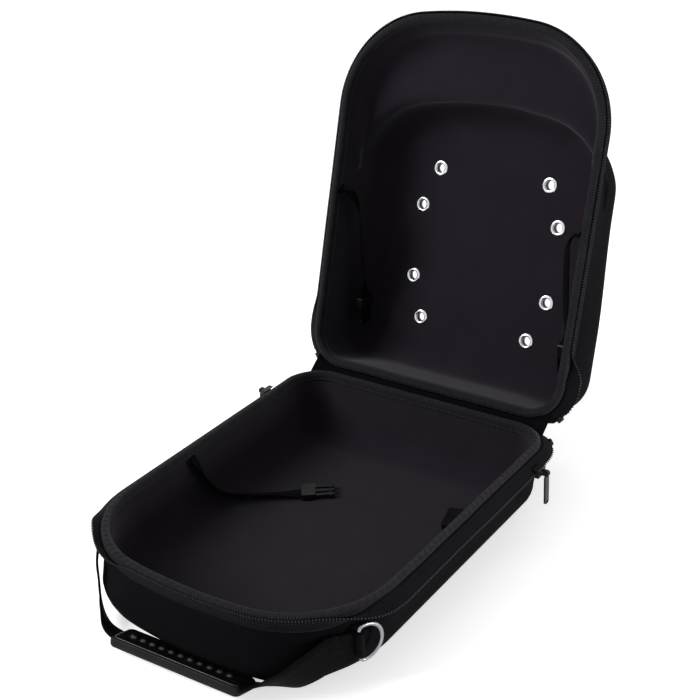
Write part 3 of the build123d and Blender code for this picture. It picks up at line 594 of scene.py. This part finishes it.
# %% Bindings
OUTER_FLAP = [(-5.35, 5.0), (0.1, 5.0), (0.15, 7.2), (1.0, 7.0), (1.2, 5.0)]
INNER_FLAP = [(-6.1, 5.0), (-6.0, 8.4), (-5.2, 8.6)]
CREST_MIDDLE, CREST_HALF, CREST_TOP, CREST_BASE = -2.5, 3.5, 0.4, 3.0
OVERLOCK_PITCH, OVERLOCK_SLANT, OVERLOCK_RADIUS = 2.1, 1.6, 0.3
LOCKSTITCH_PITCH, LOCKSTITCH_LENGTH, LOCKSTITCH_RADIUS = 4.2, 2.9, 0.4
LOCKSTITCH_OUT, LOCKSTITCH_ASIDE, LOCKSTITCH_DEPTH, CREST_ROWS = -6.15, 1.85, 6.6, 11
OVERLOCK_FROM, OVERLOCK_TO, OVERLOCK_POINTS = 0.05 * pi, 0.62 * pi, 5
WAVER, WAVER_LENGTH, SAG, SAG_LENGTH = 0.45, 45.0, 0.35, 30.0


def crest_at(angle):
    """Point of the rounded crest: out and depth, from the outer flap round to the inner."""
    return CREST_MIDDLE + CREST_HALF * np.cos(angle), CREST_BASE - (CREST_BASE - CREST_TOP) * np.sin(angle)


def bind_rim(name, place, body, seed):
    """Binding of one half with its two rows of thread."""
    crest_out, crest_depth = crest_at(np.linspace(0, pi, CREST_ROWS))
    section = [*OUTER_FLAP, *zip(crest_out, crest_depth), *INNER_FLAP]
    waver = wander(rim, WAVER, WAVER_LENGTH, seed)
    sag = np.abs(wander(rim, SAG, SAG_LENGTH, seed + 9))
    out = np.array([[part[0]] for part in section]) + waver
    depth = np.array([[part[1]] for part in section]) + sag
    strip = rim_sweep(name + "_binding_cloth", place, rim_run, out, depth, binding_tape)
    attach(strip, body)
    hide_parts(name + "_binding")
    starts = np.arange(0, rim_run[-1], OVERLOCK_PITCH)[:, None]
    angle = np.linspace(OVERLOCK_FROM, OVERLOCK_TO, OVERLOCK_POINTS)[None, :]
    runs = starts + OVERLOCK_SLANT * (angle / pi)
    moved = np.interp(runs, rim_run, waver), np.interp(runs, rim_run, sag)
    thread_out, thread_depth = crest_at(angle)
    over = beside_rim(place, runs, thread_out + moved[0], thread_depth + moved[1])
    aside = beside_rim(place, runs + 1, thread_out + moved[0], thread_depth + moved[1]) - over
    overlock = tubes(name + "_overlock", over, aside, OVERLOCK_RADIUS * MM, thread, sides=5)
    starts = np.arange(0, rim_run[-1], LOCKSTITCH_PITCH)[:, None]
    runs = starts + np.linspace(0, LOCKSTITCH_LENGTH, 3)[None, :]
    moved = np.interp(runs, rim_run, waver)
    over = beside_rim(place, runs, LOCKSTITCH_OUT + moved, LOCKSTITCH_DEPTH)
    aside = beside_rim(place, runs, LOCKSTITCH_OUT - LOCKSTITCH_ASIDE + moved, LOCKSTITCH_DEPTH) - over
    lock = tubes(name + "_lockstitch", over, aside, LOCKSTITCH_RADIUS * MM, thread)
    for row in (overlock, lock):
        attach(row, body)
    return strip


for half, seed in (("tray", 1.0), ("lid", 5.0)):
    bound = bind_rim(half, in_tray if half == "tray" else in_lid, half, seed)
    print(bound.name, len(bound.data.vertices), "points")

# %% [markdown]
# ## Zip tapes and coils
#
# Each half of the zip is a woven tape with a nylon coil sewn along its free edge. Opened, it
# does not stay where the sewing left it. Along the tray's sides it lies out and down. Round the
# front, and nearly all round the lid, it stands up against the binding. So the tape is given
# both states, and every column says how far it stands up. The coil is drawn as teeth round a
# black filler cord, 2.2 mm apart. That is a coarse coil, but one that this picture can show.

# %% Zip tapes, coils and teeth
LYING_ROOT, LYING_COIL = (1.2, 3.6), (10.1, 10.1)
STANDING_ROOT, STANDING_COIL = (0.6, 13.0), (2.5, 3.6)
LEFT_LIFT = 4.5
TAPE_THICK, COIL_CORE, TOOTH_REACH, TOOTH_RADIUS, TOOTH_PITCH = 0.9, 0.75, 1.5, 0.5, 2.2
TAPE_END_X, COIL_END_TURN = 86.0, 40.0
TAPE_ROWS, CORD_SIDES, CORNER_SPARE, FACES_BACK = 5, 8, 0.6, -1e-3
STAND_WAVER, STAND_LENGTH, TAPE_CROWN = 0.08, 70.0, 0.5
TRAY_STANDS, LID_STANDS = (250, 300), (38, 66)
LEFT_SIDE, CORNER_LIES, CORNER_FROM, CORNER_LIFTS = (40, 80), 0.5, (256, 280), (262, 284)


def zip_lines(stand):
    """Lines of the root and of the coil for each column, as out and depth."""
    lines = []
    for lying, standing in ((LYING_ROOT, STANDING_ROOT), (LYING_COIL, STANDING_COIL)):
        lines += [lying[part] + (standing[part] - lying[part]) * stand for part in (0, 1)]
    back = np.minimum(rim[:, 3], FACES_BACK)
    room = (HINGE_GAP + BACK_RADIUS) / -back - BACK_RADIUS - CORNER_SPARE
    lines[2] = np.where(rim[:, 3] < FACES_BACK, np.minimum(lines[2], room), lines[2])
    lines[0] = np.minimum(lines[0], lines[2])
    return lines


def zip_half(name, place, body, stand, lifted, seed):
    """Tape, core and teeth of one half."""
    stand = np.clip(stand + wander(rim, STAND_WAVER, STAND_LENGTH, seed), 0, 1)
    root_out, root_depth, coil_out, coil_depth = zip_lines(stand)
    coil_depth = coil_depth - lifted * (1 - stand)
    used = np.flatnonzero((np.abs(rim[:, 0]) > TAPE_END_X) | (rim[:, 1] > HINGE_GAP + 0.01))
    part = np.linspace(0, 1, TAPE_ROWS)[:, None]
    length = np.hypot(coil_out - root_out, coil_depth - root_depth)
    normal = (coil_depth - root_depth) / length, -(coil_out - root_out) / length
    lift = TAPE_THICK / 2 + TAPE_CROWN * np.sin(part * pi)
    skins = [(root_out + (coil_out - root_out) * part + normal[0] * side,
              root_depth + (coil_depth - root_depth) * part + normal[1] * side)
             for side in (lift, lift - TAPE_THICK)]
    out, depth = [np.concatenate([skins[0][axis], skins[1][axis][::-1]])[:, used] for axis in (0, 1)]
    tape = rim_sweep(name + "_zip_tape", place, rim_run[used], out, depth, zip_tape, closed_ends=True)
    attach(tape, body)
    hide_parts(name + "_zipper_tape")
    turn = np.degrees(np.arctan2(-rim[:, 3], np.abs(rim[:, 2])))
    coiled = np.flatnonzero(turn < COIL_END_TURN)
    spin = np.linspace(0, tau, CORD_SIDES + 1)[:-1, None]
    cord_out = coil_out[coiled] + COIL_CORE * np.cos(spin)
    cord_depth = coil_depth[coiled] + COIL_CORE * np.sin(spin)
    core = rim_sweep(name + "_coil_core", place, rim_run[coiled], cord_out, cord_depth, zip_tape,
                     closed_ends=True)
    first, last = rim_run[coiled[0]] + TOOTH_PITCH, rim_run[coiled[-1]] - TOOTH_PITCH
    starts = np.arange(first, last, TOOTH_PITCH)[:, None]
    reach = np.linspace(-1, 1, 3)[None, :] * TOOTH_REACH
    at = [np.interp(starts, rim_run, line) for line in (coil_out, coil_depth, normal[0], normal[1])]
    runs = starts + 0 * reach
    over = beside_rim(place, runs, at[0] - at[3] * reach, at[1] + at[2] * reach)
    aside = beside_rim(place, runs + 1, at[0] - at[3] * reach, at[1] + at[2] * reach) - over
    teeth = tubes(name + "_coil_teeth", over, aside, TOOTH_RADIUS * MM, coil_nylon)
    for coil in (core, teeth):
        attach(coil, body)
        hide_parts(name + "_zipper_coil")
    return len(starts)


along = rim[:, 1]
on_left = rise(-rim[:, 0], *LEFT_SIDE)
left_corner = LEFT_LIFT * on_left * rise(along, *CORNER_LIFTS)
lying = CORNER_LIES * on_left * rise(along, *CORNER_FROM)
tray_stand = np.clip(rise(along, *TRAY_STANDS) - lying, 0, 1)
tray_teeth = zip_half("tray", in_tray, "tray", tray_stand, left_corner, seed=11.0)
lid_teeth = zip_half("lid", in_lid, "lid", rise(along, *LID_STANDS), 0 * along, seed=17.0)
print("teeth:", tray_teeth, "on the tray and", lid_teeth, "on the lid")

# %% [markdown]
# ## The fabric hinge
#
# Nothing rigid joins the halves. A strip of cover fabric is sewn to both outer walls and bends
# between the two bindings, where it shows as a dark groove.

# %% Fabric hinge
GUSSET_HALF, GUSSET_THICK, GUSSET_COLUMNS = 118.0, 0.8, 95
GUSSET_SIDE = [(2.3, 21.0, 1.0), (2.1, 17.0, 1.0), (2.2, 10.0, 1.0),
               (1.2, 7.6, 0.95), (0.75, 5.0, 0.8), (0.7, 2.6, 0.6)]
GROOVE_DROP = 0.4 * MM

gusset_x = np.linspace(-GUSSET_HALF, GUSSET_HALF, GUSSET_COLUMNS)
corner_x = np.clip(np.abs(gusset_x) - (HALF_WIDTH - BACK_RADIUS), 0, None)
corner_v = BACK_RADIUS - np.sqrt(BACK_RADIUS ** 2 - corner_x ** 2)
rows = []
for side, place, steps in ((1, in_tray, GUSSET_SIDE), (-1, in_lid, GUSSET_SIDE[::-1])):
    for v, depth, follow in steps:
        rows.append(place(gusset_x, v + follow * corner_v, depth))
middle_row = len(GUSSET_SIDE)
roll = (rows[middle_row - 1] + rows[middle_row]) / 2 + [0, -GROOVE_DROP, -GROOVE_DROP]
rows.insert(middle_row, roll)
skin = np.stack(rows)
tangent = unit(np.gradient(skin, axis=0))
normal = np.cross(tangent, [1.0, 0, 0])
skins = np.concatenate([skin, (skin + normal * GUSSET_THICK * MM)[::-1], skin[:1]])
down = np.concatenate([[0], np.cumsum(np.linalg.norm(np.diff(skins[:, 0], axis=0), axis=1))])
cloth = np.stack(np.broadcast_arrays(gusset_x[None, :] * MM, down[:, None]), axis=-1)
hinge_strip = cloth_grid("fabric_hinge", skins, cloth, shell_cover)
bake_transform(hinge_strip)
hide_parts("hinge_seam_tray", "hinge_seam_lid")
print("fabric hinge:", len(hinge_strip.data.vertices), "points")

# %% [markdown]
# ## Straps and webbing
#
# Webbing is a flat ribbon that keeps its width and bends only through its thickness, or twists.
# A ribbon is given by a few stations, each a place and the direction across the ribbon, and a
# smooth curve through them. The section has rounded edges, as a woven selvedge has.


# %% Ribbons
SECTION_SIDE = np.array([-1, -0.97, -0.5, 0, 0.5, 0.97, 1, 0.97, 0.5, 0, -0.5, -0.97, -1])
SECTION_LIFT = np.array([0, 0.4, 0.5, 0.5, 0.5, 0.4, 0, -0.4, -0.5, -0.5, -0.5, -0.4, 0])
LEAST_SQUARE = 0.04


def through(stations, count):
    """Smooth curve through stations (Catmull-Rom): places or directions, count rows."""
    stations = np.array(stations, float)
    before, after = 2 * stations[:1] - stations[1:2], 2 * stations[-1:] - stations[-2:-1]
    padded = np.concatenate([before, stations, after])
    where = np.linspace(0, len(stations) - 1, count)
    cell = np.minimum(where.astype(int), len(stations) - 2)
    part = (where - cell)[:, None]
    a, b, c, d = (padded[cell + shift] for shift in range(4))
    return 0.5 * (2 * b + (c - a) * part + (2 * a - 5 * b + 4 * c - d) * part ** 2
                  + (3 * b - a - 3 * c + d) * part ** 3)


def ribbon(name, stations, width, thick, material, count=60, round_start=False):
    """Flat webbing through stations of (place in mm, direction across), of one or several widths."""
    centre = through([station[0] for station in stations], count)
    across = unit(through([station[1] for station in stations], count))
    run = unit(np.gradient(centre, axis=0))
    across = unit(across - run * np.sum(across * run, axis=1, keepdims=True))
    normal = np.cross(run, across)
    distance = np.concatenate([[0], np.cumsum(np.linalg.norm(np.diff(centre, axis=0), axis=1))])
    widths = np.broadcast_to(np.array(width, float), (len(stations),))
    half = through(widths[:, None], count)[:, 0] / 2
    if round_start:
        rounded = np.sqrt(np.maximum(half ** 2 - (half - distance) ** 2, LEAST_SQUARE))
        half = np.where(distance < half, rounded, half)
    points = (centre[None] + across[None] * (SECTION_SIDE[:, None] * half)[:, :, None]
              + normal[None] * (SECTION_LIFT * thick)[:, None, None])
    ends = [np.repeat(centre[None, [end]], len(SECTION_SIDE), axis=0) for end in (0, -1)]
    points = np.concatenate([ends[0], points, ends[1]], axis=1)
    distance = np.concatenate([[0], distance, distance[-1:]])
    woven_across = (SECTION_SIDE * widths.max() / 2)[:, None]
    cloth = np.stack(np.broadcast_arrays(distance[None, :], woven_across), axis=-1) * MM
    return cloth_grid(name, points * MM, cloth, material)


def mirrored(stations):
    """The same places on the other side of the case, with the ribbon turned the same way."""
    return [(np.array(place) * [-1, 1, 1], across) for place, across in stations]


# %% [markdown]
# ## The carrying handle
#
# Two lengths of webbing come from the front corners and end in a moulded grip. On the right
# the webbing runs on from the ring, round the corner and down. On the left it hangs straight
# from under the tape and turns in at the ground. The grip lies nearly flat in front of the tray,
# a little askew, with a row of finger bumps on a pad. The bumps are heights added to a rounded
# bar, which keeps the pad one smooth moulding, where separate domes would show a seam. The pad
# is glossier than the bar. Its colour is a little darker than the bar's: that difference is
# painted light on the grip's lit front face and painted shade on its top.

# %% Handle webbing and grip
HANDLE_THICK = 1.8
RIGHT_WIDTHS, LEFT_WIDTHS = [24, 26, 28, 29, 28, 22], [22, 22, 20, 17, 14, 13, 14]
GRIP_MIDDLE, GRIP_SKEW, GRIP_TILT = np.array([0.0, -167.0, 6.6]), radians(-2.5), radians(14)
GRIP_LENGTH, GRIP_WIDTH, GRIP_HEIGHT, GRIP_END_ROUND, ARM_INSIDE = 117.0, 20.5, 8.0, 5.0, 4
BUMP_COUNT, BUMP_PITCH, BUMP_RADIUS, BUMP_HEIGHT, BUMP_FLAT = 11, 8.6, 4.3, 1.9, 0.3
GRIP_SQUARENESS, PAD_SQUARENESS, PAD_HEIGHT, PAD_SHORTER, PAD_NARROWER = 0.3, 0.4, 1.6, 5, 2.2
PAD_SINK, PAD_BACK, END_CLOSE, SIDE_KEPT, LIFT_KEPT = 0.2, 0.7, 0.98, 0.72, 0.35

grip_run = np.array([cos(GRIP_SKEW), -sin(GRIP_SKEW), 0.0])
grip_out = unit(np.array([sin(GRIP_SKEW), -cos(GRIP_TILT), sin(GRIP_TILT)]))
grip_up = np.cross(grip_run, -grip_out)
GRIP_LEFT = GRIP_MIDDLE - grip_run * (GRIP_LENGTH / 2 - ARM_INSIDE)
GRIP_RIGHT = GRIP_MIDDLE + grip_run * (GRIP_LENGTH / 2 - ARM_INSIDE)

RIGHT_ARM = [
    ((111.2, -124.4, 36.0), (0, 0, 1)),
    ((106.0, -131.8, 34.0), (0, -0.05, 1)),
    ((98.5, -142.2, 27.0), (0, -0.25, 0.97)),
    ((86.0, -151.5, 17.0), (0, -0.55, 0.84)),
    ((71.5, -156.5, 10.5), (0, -0.78, 0.62)),
    (GRIP_RIGHT, grip_out),
]
LEFT_ARM = [
    ((-98.5, -141.0, 54.0), (0.66, -0.65, 0.4)),
    ((-96.5, -146.0, 44.0), (0.64, -0.55, 0.55)),
    ((-96.0, -147.5, 31.0), (0.62, -0.51, 0.60)),
    ((-91.0, -153.0, 18.0), (0.62, -0.51, 0.60)),
    ((-79.0, -162.0, 13.0), (0.5, -0.65, 0.55)),
    ((-67.0, -168.5, 9.5), (0.2, -0.9, 0.35)),
    (GRIP_LEFT, grip_out),
]
for name, stations, wide in (("right", RIGHT_ARM, RIGHT_WIDTHS), ("left", LEFT_ARM, LEFT_WIDTHS)):
    arm = ribbon("handle_arm_" + name, stations, wide, HANDLE_THICK, strap_webbing)
    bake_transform(arm)
    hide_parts("handle_webbing_" + name)

GRIP_STATIONS = 161
span = np.linspace(-1, 1, GRIP_STATIONS)
levels = np.concatenate([[1, 0.995, 0.98], np.linspace(0.95, -0.95, 23), [-0.98, -0.995]])
around = np.concatenate([levels, -levels, levels[:1]])[:, None]
upper = np.concatenate([np.ones(len(levels)), -np.ones(len(levels)), [1]])[:, None]


def rounded_bar(name, long, wide, high, centre, squareness, bumps, material):
    """Bar along the grip with a rounded-rectangle section and rounded ends."""
    along = span * long / 2
    from_end = np.clip((np.abs(along) - long / 2 + GRIP_END_ROUND) / GRIP_END_ROUND, 0, 1)
    taper = np.sqrt(1 - END_CLOSE * from_end ** 2)
    side = around * wide / 2 * (SIDE_KEPT + (1 - SIDE_KEPT) * taper)
    height = np.sqrt(1 - np.abs(around) ** (2 / squareness)) ** squareness
    lift = upper * height * high / 2 * (LIFT_KEPT + (1 - LIFT_KEPT) * taper)
    if bumps:
        bump_at = (np.arange(BUMP_COUNT) - (BUMP_COUNT - 1) / 2) * BUMP_PITCH
        near = np.hypot(np.min(np.abs(along[:, None] - bump_at), axis=1)[None, :], side)
        dome = BUMP_HEIGHT * (1 - rise(near, BUMP_RADIUS * BUMP_FLAT, BUMP_RADIUS))
        lift = lift + np.where((upper > 0) & (height > 0), dome, 0)
    points = (centre + grip_run * along[None, :, None] + grip_out * side[:, :, None]
              + grip_up * lift[:, :, None])
    ends = [np.repeat(points[:, [end]].mean(axis=0, keepdims=True), len(points), axis=0) for end in (0, -1)]
    points = np.concatenate([ends[0], points, ends[1]], axis=1)
    bar = cloth_grid(name, points * MM, np.zeros((*points.shape[:2], 2)), material)
    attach(bar, "carry_handle")
    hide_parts("handle_grip")
    return bar


grip = rounded_bar("grip_shell", GRIP_LENGTH, GRIP_WIDTH, GRIP_HEIGHT, GRIP_MIDDLE,
                   GRIP_SQUARENESS, False, grip_shell)
pad_middle = GRIP_MIDDLE + grip_up * (GRIP_HEIGHT / 2 - PAD_SINK) - grip_out * PAD_BACK
rounded_bar("grip_pad", GRIP_LENGTH - PAD_SHORTER, GRIP_WIDTH - PAD_NARROWER, PAD_HEIGHT, pad_middle,
            PAD_SQUARENESS, True, grip_pad)
print("grip:", [round(v * 1000) for v in grip.dimensions], "mm")

# %% [markdown]
# ## Folds for the side rings
#
# Each ring hangs in a fold: a short webbing goes round the ring's straight bar and both ends are
# sewn flat on the wall. The path is drawn from above. It comes along the wall, turns round the
# bar and returns over itself. The ring turns in the fold and stays a frame piece.

# %% Ring folds
RING_BAR, RING_TURN, CORNER = np.array([119.11, -114.84]), radians(28), np.array([43.0, -74.37])
FOLD_RADIUS, FOLD_WIDTH, FOLD_THICK = 2.55, 21.0, 1.3
RING_HEIGHT, UNDER_LAYER, UPPER_LAYER = 36.0, 82.8, 84.0


def by_wall(degrees, reach):
    """Place near the wall of the right front corner, at an angle round it and a reach from it."""
    angle = radians(degrees)
    return [CORNER[0] + reach * cos(angle), CORNER[1] - reach * sin(angle), RING_HEIGHT]


fold = [by_wall(45, UNDER_LAYER), by_wall(38, UNDER_LAYER), by_wall(32, UNDER_LAYER + 0.1)]
for degrees in range(190, -100, -35):
    turned = radians(degrees) - RING_TURN - radians(62)
    round_bar = RING_BAR + FOLD_RADIUS * np.array([cos(turned), sin(turned)])
    fold.append([*round_bar, RING_HEIGHT])
fold += [by_wall(32, UPPER_LAYER + 0.6), by_wall(38, UPPER_LAYER + 0.2), by_wall(43, UPPER_LAYER)]
fold_stations = [(place, (0, 0, 1)) for place in fold]
for name, stations in (("right", fold_stations), ("left", mirrored(fold_stations))):
    folded = ribbon("ring_fold_" + name, stations, FOLD_WIDTH, FOLD_THICK, strap_webbing, count=90)
    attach(folded, "tray")
    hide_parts("ring_loop_" + name)
print("ring folds:", len(folded.data.vertices), "points each")

# %% [markdown]
# ## Straps inside
#
# The lid's straps are caught in its side seams, curl out and hang down with a buckle each. The
# tray's straps are sewn down the walls and lie on the floor. All are soft 14 mm webbing, which
# takes a twist and a slack curve that the straight frame pieces can't show.

# %% Inner straps
STRAP_WIDTH, STRAP_THICK = 14.0, 1.3
HANG_X, HANG_Y, HANG_TOP, HANG_END = -103.0, 222.57, 210.35, 114.0
LID_STRAP = [
    ((-119.0, 217.5, 219.0), (0, 0.95, -0.31)),
    ((-117.6, 219.0, 214.5), (0, 0.96, -0.28)),
    ((-111.5, 221.5, 212.0), (0.1, 0.98, -0.1)),
    ((-105.6, 222.6, 205.5), (-0.4, 0.9, 0)),
    ((-102.9, 223.0, 192.0), (-0.63, 0.77, 0)),
    ((-102.2, 223.2, 165.0), (-0.68, 0.73, 0)),
    ((-102.7, 222.8, 134.0), (-0.62, 0.78, 0)),
    ((HANG_X, HANG_Y, HANG_END), (0, 1, 0)),
]
for name, stations, side in (("left", LID_STRAP, 1), ("right", mirrored(LID_STRAP), -1)):
    strap = ribbon("lid_strap_cloth_" + name, stations, STRAP_WIDTH, STRAP_THICK, strap_webbing)
    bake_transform(strap)
    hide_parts("lid_strap_" + name, "lid_strap_tabs")

TRAY_TURN = radians(37)
TRAY_STRAP = [
    ((-117.4, -12.0, 58.0), (-0.4, 0.85, -0.2)),
    ((-114.6, -9.0, 49.0), (-0.5, 0.75, -0.4)),
    ((-112.0, -4.5, 36.0), (-0.58, 0.62, -0.53)),
    ((-108.5, 2.0, 23.0), (-0.6, 0.6, -0.53)),
    ((-103.5, 11.0, 14.5), (-0.62, 0.58, -0.53)),
    ((-98.0, 18.5, 11.2), (-0.62, 0.6, -0.5)),
    ((-84.0, 29.3, 9.6), (-sin(TRAY_TURN), cos(TRAY_TURN), -0.5)),
    ((-70.0, 39.9, 8.6), (-sin(TRAY_TURN), cos(TRAY_TURN), -0.38)),
    ((-55.6, 50.7, 7.4), (-sin(TRAY_TURN), cos(TRAY_TURN), 0)),
]
strap = ribbon("tray_strap_cloth_left", TRAY_STRAP, STRAP_WIDTH, STRAP_THICK, strap_webbing, count=90)
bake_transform(strap)
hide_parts("tray_strap_left", "tray_strap_tabs")

RIGHT_TURN, RIGHT_FOOT = radians(75), np.array([93.7, 22.0, 6.3])
right_run = np.array([-cos(RIGHT_TURN), sin(RIGHT_TURN), 0])
right_start = RIGHT_FOOT - right_run * STRAP_WIDTH / 2
right_wall = [((118.6, 22, 57), (0, 1, 0)), ((116.6, 22, 39), (0, 1, 0)), ((114.4, 22, 27), (0, 1, 0)),
              ((111.2, 22, 16.4), (0, 1, 0)), ((105.2, 22, 9.0), (0, 1, 0)), ((98.5, 22, 6.2), (0, 1, 0))]
wall_strap = ribbon("tray_strap_wall_right", right_wall, STRAP_WIDTH, STRAP_THICK, strap_webbing)
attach(wall_strap, "tray")
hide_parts("tray_strap_tabs")
right_across = np.cross([0, 0, 1], right_run)
loose = [(right_start + right_run * step + np.array([0, 0, lift]), right_across)
         for step, lift in ((0, 1.3), (14, 1.4), (30, 1.9), (42, 1.2), (54.6, 0.9))]
loose_strap = ribbon("tray_strap_cloth_right", loose, STRAP_WIDTH, STRAP_THICK, strap_webbing,
                     round_start=True)
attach(loose_strap, "lower_strap_right")
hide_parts("tray_strap_right")
print("inner straps: 5 ribbons of", STRAP_WIDTH, "mm")

# %% [markdown]
# ## Eyelets and their holes
#
# Eight metal eyelets air the crown well. An eyelet is drawn from sheet: a domed flange inside, a
# barrel through the foam and a rolled end on a washer. The real eyelet is one bright piece. It is
# turned here as two profiles spun round one axis, so that the barrel can take a dark grey: painted
# shade for the shadow and dark reflection down the hole. The holes through foam and lining
# are cut with cylinders, so that daylight shows through them as it does in the photograph.

# %% Eyelets
EYELET_ACROSS, EYELET_ALONG = [54.8, 68.5, 68.5, 54.8], [190.0, 155.0, 89.0, 52.0]
FLANGE_PROFILE = [(4.0, -0.4), (4.05, 0.2), (4.3, 0.75), (4.9, 1.15), (5.7, 1.2), (6.5, 0.95),
                  (7.1, 0.5), (7.3, 0.05), (6.9, -0.15), (4.7, -0.15), (4.6, -0.4), (4.0, -0.4)]
BARREL_PROFILE = [(4.0, -6.0), (4.0, -0.4), (4.6, -0.4), (4.7, -6.0), (4.35, -6.3), (4.0, -6.0)]
EYELET_SIDES, EYELET_SEAT = 40, CROWN_DEPTH - LINING_INNER
HOLE_RADIUS, PUNCH_REACH = 4.72, 12.0

spots = [(side * x, v) for x, v in zip(EYELET_ACROSS, EYELET_ALONG) for side in (-1, 1)]
spin = np.linspace(0, tau, EYELET_SIDES + 1)
# The barrel's dark grey steel is painted shade down the hole; the flange is the real bright plate.
turnings = (("flange", FLANGE_PROFILE, nickel), ("barrel", BARREL_PROFILE, barrel_painted_shade))
for number, (x, v) in enumerate(spots):
    for part, profile, metal in turnings:
        radius, height = [np.array(profile)[:, [axis]] for axis in (0, 1)]
        points = in_lid(x + radius * np.cos(spin), v + radius * np.sin(spin), EYELET_SEAT - height)
        turned = cloth_grid(f"eyelet_{part}_{number}", points, np.zeros((*points.shape[:2], 2)), metal)
        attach(turned, "lid")
        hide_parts("eyelets")

reach = np.array([[0.0], [HOLE_RADIUS], [HOLE_RADIUS], [0.0]])
level = np.array([[-1], [-1], [1], [1]]) * PUNCH_REACH
for piece in (lid_cover, lid_inside):
    for x, v in spots:
        points = in_lid(x + reach * np.cos(spin), v + reach * np.sin(spin), EYELET_SEAT + level)
        punch = cloth_grid("punch", points, np.zeros((*points.shape[:2], 2)), shell_cover)
        cut = piece.modifiers.new("hole", "BOOLEAN")
        cut.object, cut.solver = punch, "EXACT"
        cut.operation = "DIFFERENCE"
        with bpy.context.temp_override(object=piece, active_object=piece):
            bpy.ops.object.modifier_apply(modifier=cut.name)
        bpy.data.objects.remove(punch)
    print(piece.name, "punched:", len(piece.data.vertices), "points")

# %% [markdown]
# ## Finishes for the frame pieces that stay
#
# Rings, sliders, pulls, stops, washers and buckles are hard, and the frame's own solids are
# what would be moulded or cast. They only need the right surface. Plated steel is bright or
# satin, the zinc castings are lacquered black and the buckles are black acetal.

# %% Kept frame pieces
KEPT = {
    "d_ring_left": ring_steel, "d_ring_right": ring_steel, "eyelet_washers": nickel,
    "slider_left": lacquer, "slider_right": lacquer, "pull_tab_left": lacquer, "pull_tab_right": lacquer,
    "tray_coil_stops": lacquer, "lid_coil_stops": lacquer,
    "lid_buckle_left": acetal, "lid_buckle_right": acetal,
    "tray_buckle_left": acetal, "tray_buckle_right": acetal,
}
for name, material in KEPT.items():
    piece = nodes[name]
    piece.data.materials.clear()
    piece.data.materials.append(material)
print("kept frame pieces:", len(KEPT))

# %% [markdown]
# ## Light and ground
#
# The photograph has the case on plain white with soft light from all round, a little stronger
# from the upper left. Three soft lamps do this, at a level where a colour renders about as it
# is written. What the camera sees behind the case is white by itself, and the floor keeps the
# soft shadow that the case throws.

# %% Floor, world and lamps
FLOOR_SIZE, FLOOR_GLOW, WORLD_LIGHT = 60.0, 0.6, 0.34
LAMPS = [
    ((-1.35, -1.3, 1.6), 1.2, 44.0),
    ((1.5, 0.4, 0.12), 0.3, 18.0),
    ((0.0, 1.2, 1.9), 1.4, 8.0),
]


def seen_white(tree):
    """One for rays from the camera or by way of gloss or glass, and nought for the rest."""
    rays = add(tree, "LightPath")
    seen = rays.outputs["Is Camera Ray"]
    for kind in ("Is Glossy Ray", "Is Transmission Ray"):
        seen = add(tree, "Math", {0: seen, 1: rays.outputs[kind]}, operation="MAXIMUM").outputs[0]
    return seen


world = bpy.data.worlds.new("studio")
world.use_nodes = True
bpy.context.scene.world = world
tree = world.node_tree
background = tree.nodes["Background"]
level = add(tree, "Mix", {0: seen_white(tree), 2: WORLD_LIGHT, 3: 1.0}).outputs[0]
background.inputs["Color"].default_value = srgb("#ffffff")
tree.links.new(level, background.inputs["Strength"])

floor_material, tree, surface = begin("paper_floor", Base_Color=srgb("#f4f4f4"), Roughness=0.9)
glow = add(tree, "Emission", {"Color": srgb("#ffffff"), "Strength": FLOOR_GLOW})
both = add(tree, "AddShader", {0: surface.outputs[0], 1: glow.outputs[0]})
mixed = add(tree, "MixShader", {0: seen_white(tree), 1: surface.outputs[0], 2: both.outputs[0]})
tree.links.new(mixed.outputs[0], tree.nodes["Material Output"].inputs["Surface"])
corners = np.array([(-1, -1, 0), (1, -1, 0), (1, 1, 0), (-1, 1, 0)]) * FLOOR_SIZE / 2 - [0, 0, 0.0005]
floor = finish_mesh("floor", corners, [(0, 1, 2, 3)], floor_material)

for number, (place, size, power) in enumerate(LAMPS):
    lamp_data = bpy.data.lights.new(f"lamp_{number}", "AREA")
    lamp_data.size = size
    lamp_data.energy = power
    lamp = bpy.data.objects.new(f"lamp_{number}", lamp_data)
    bpy.context.scene.collection.objects.link(lamp)
    aim = (Vector((0, 0, 0.12)) - Vector(place)).to_track_quat("-Z", "Y").to_matrix().to_4x4()
    lamp.matrix_world = Matrix.Translation(place) @ aim
bpy.context.scene.view_settings.view_transform = "Standard"
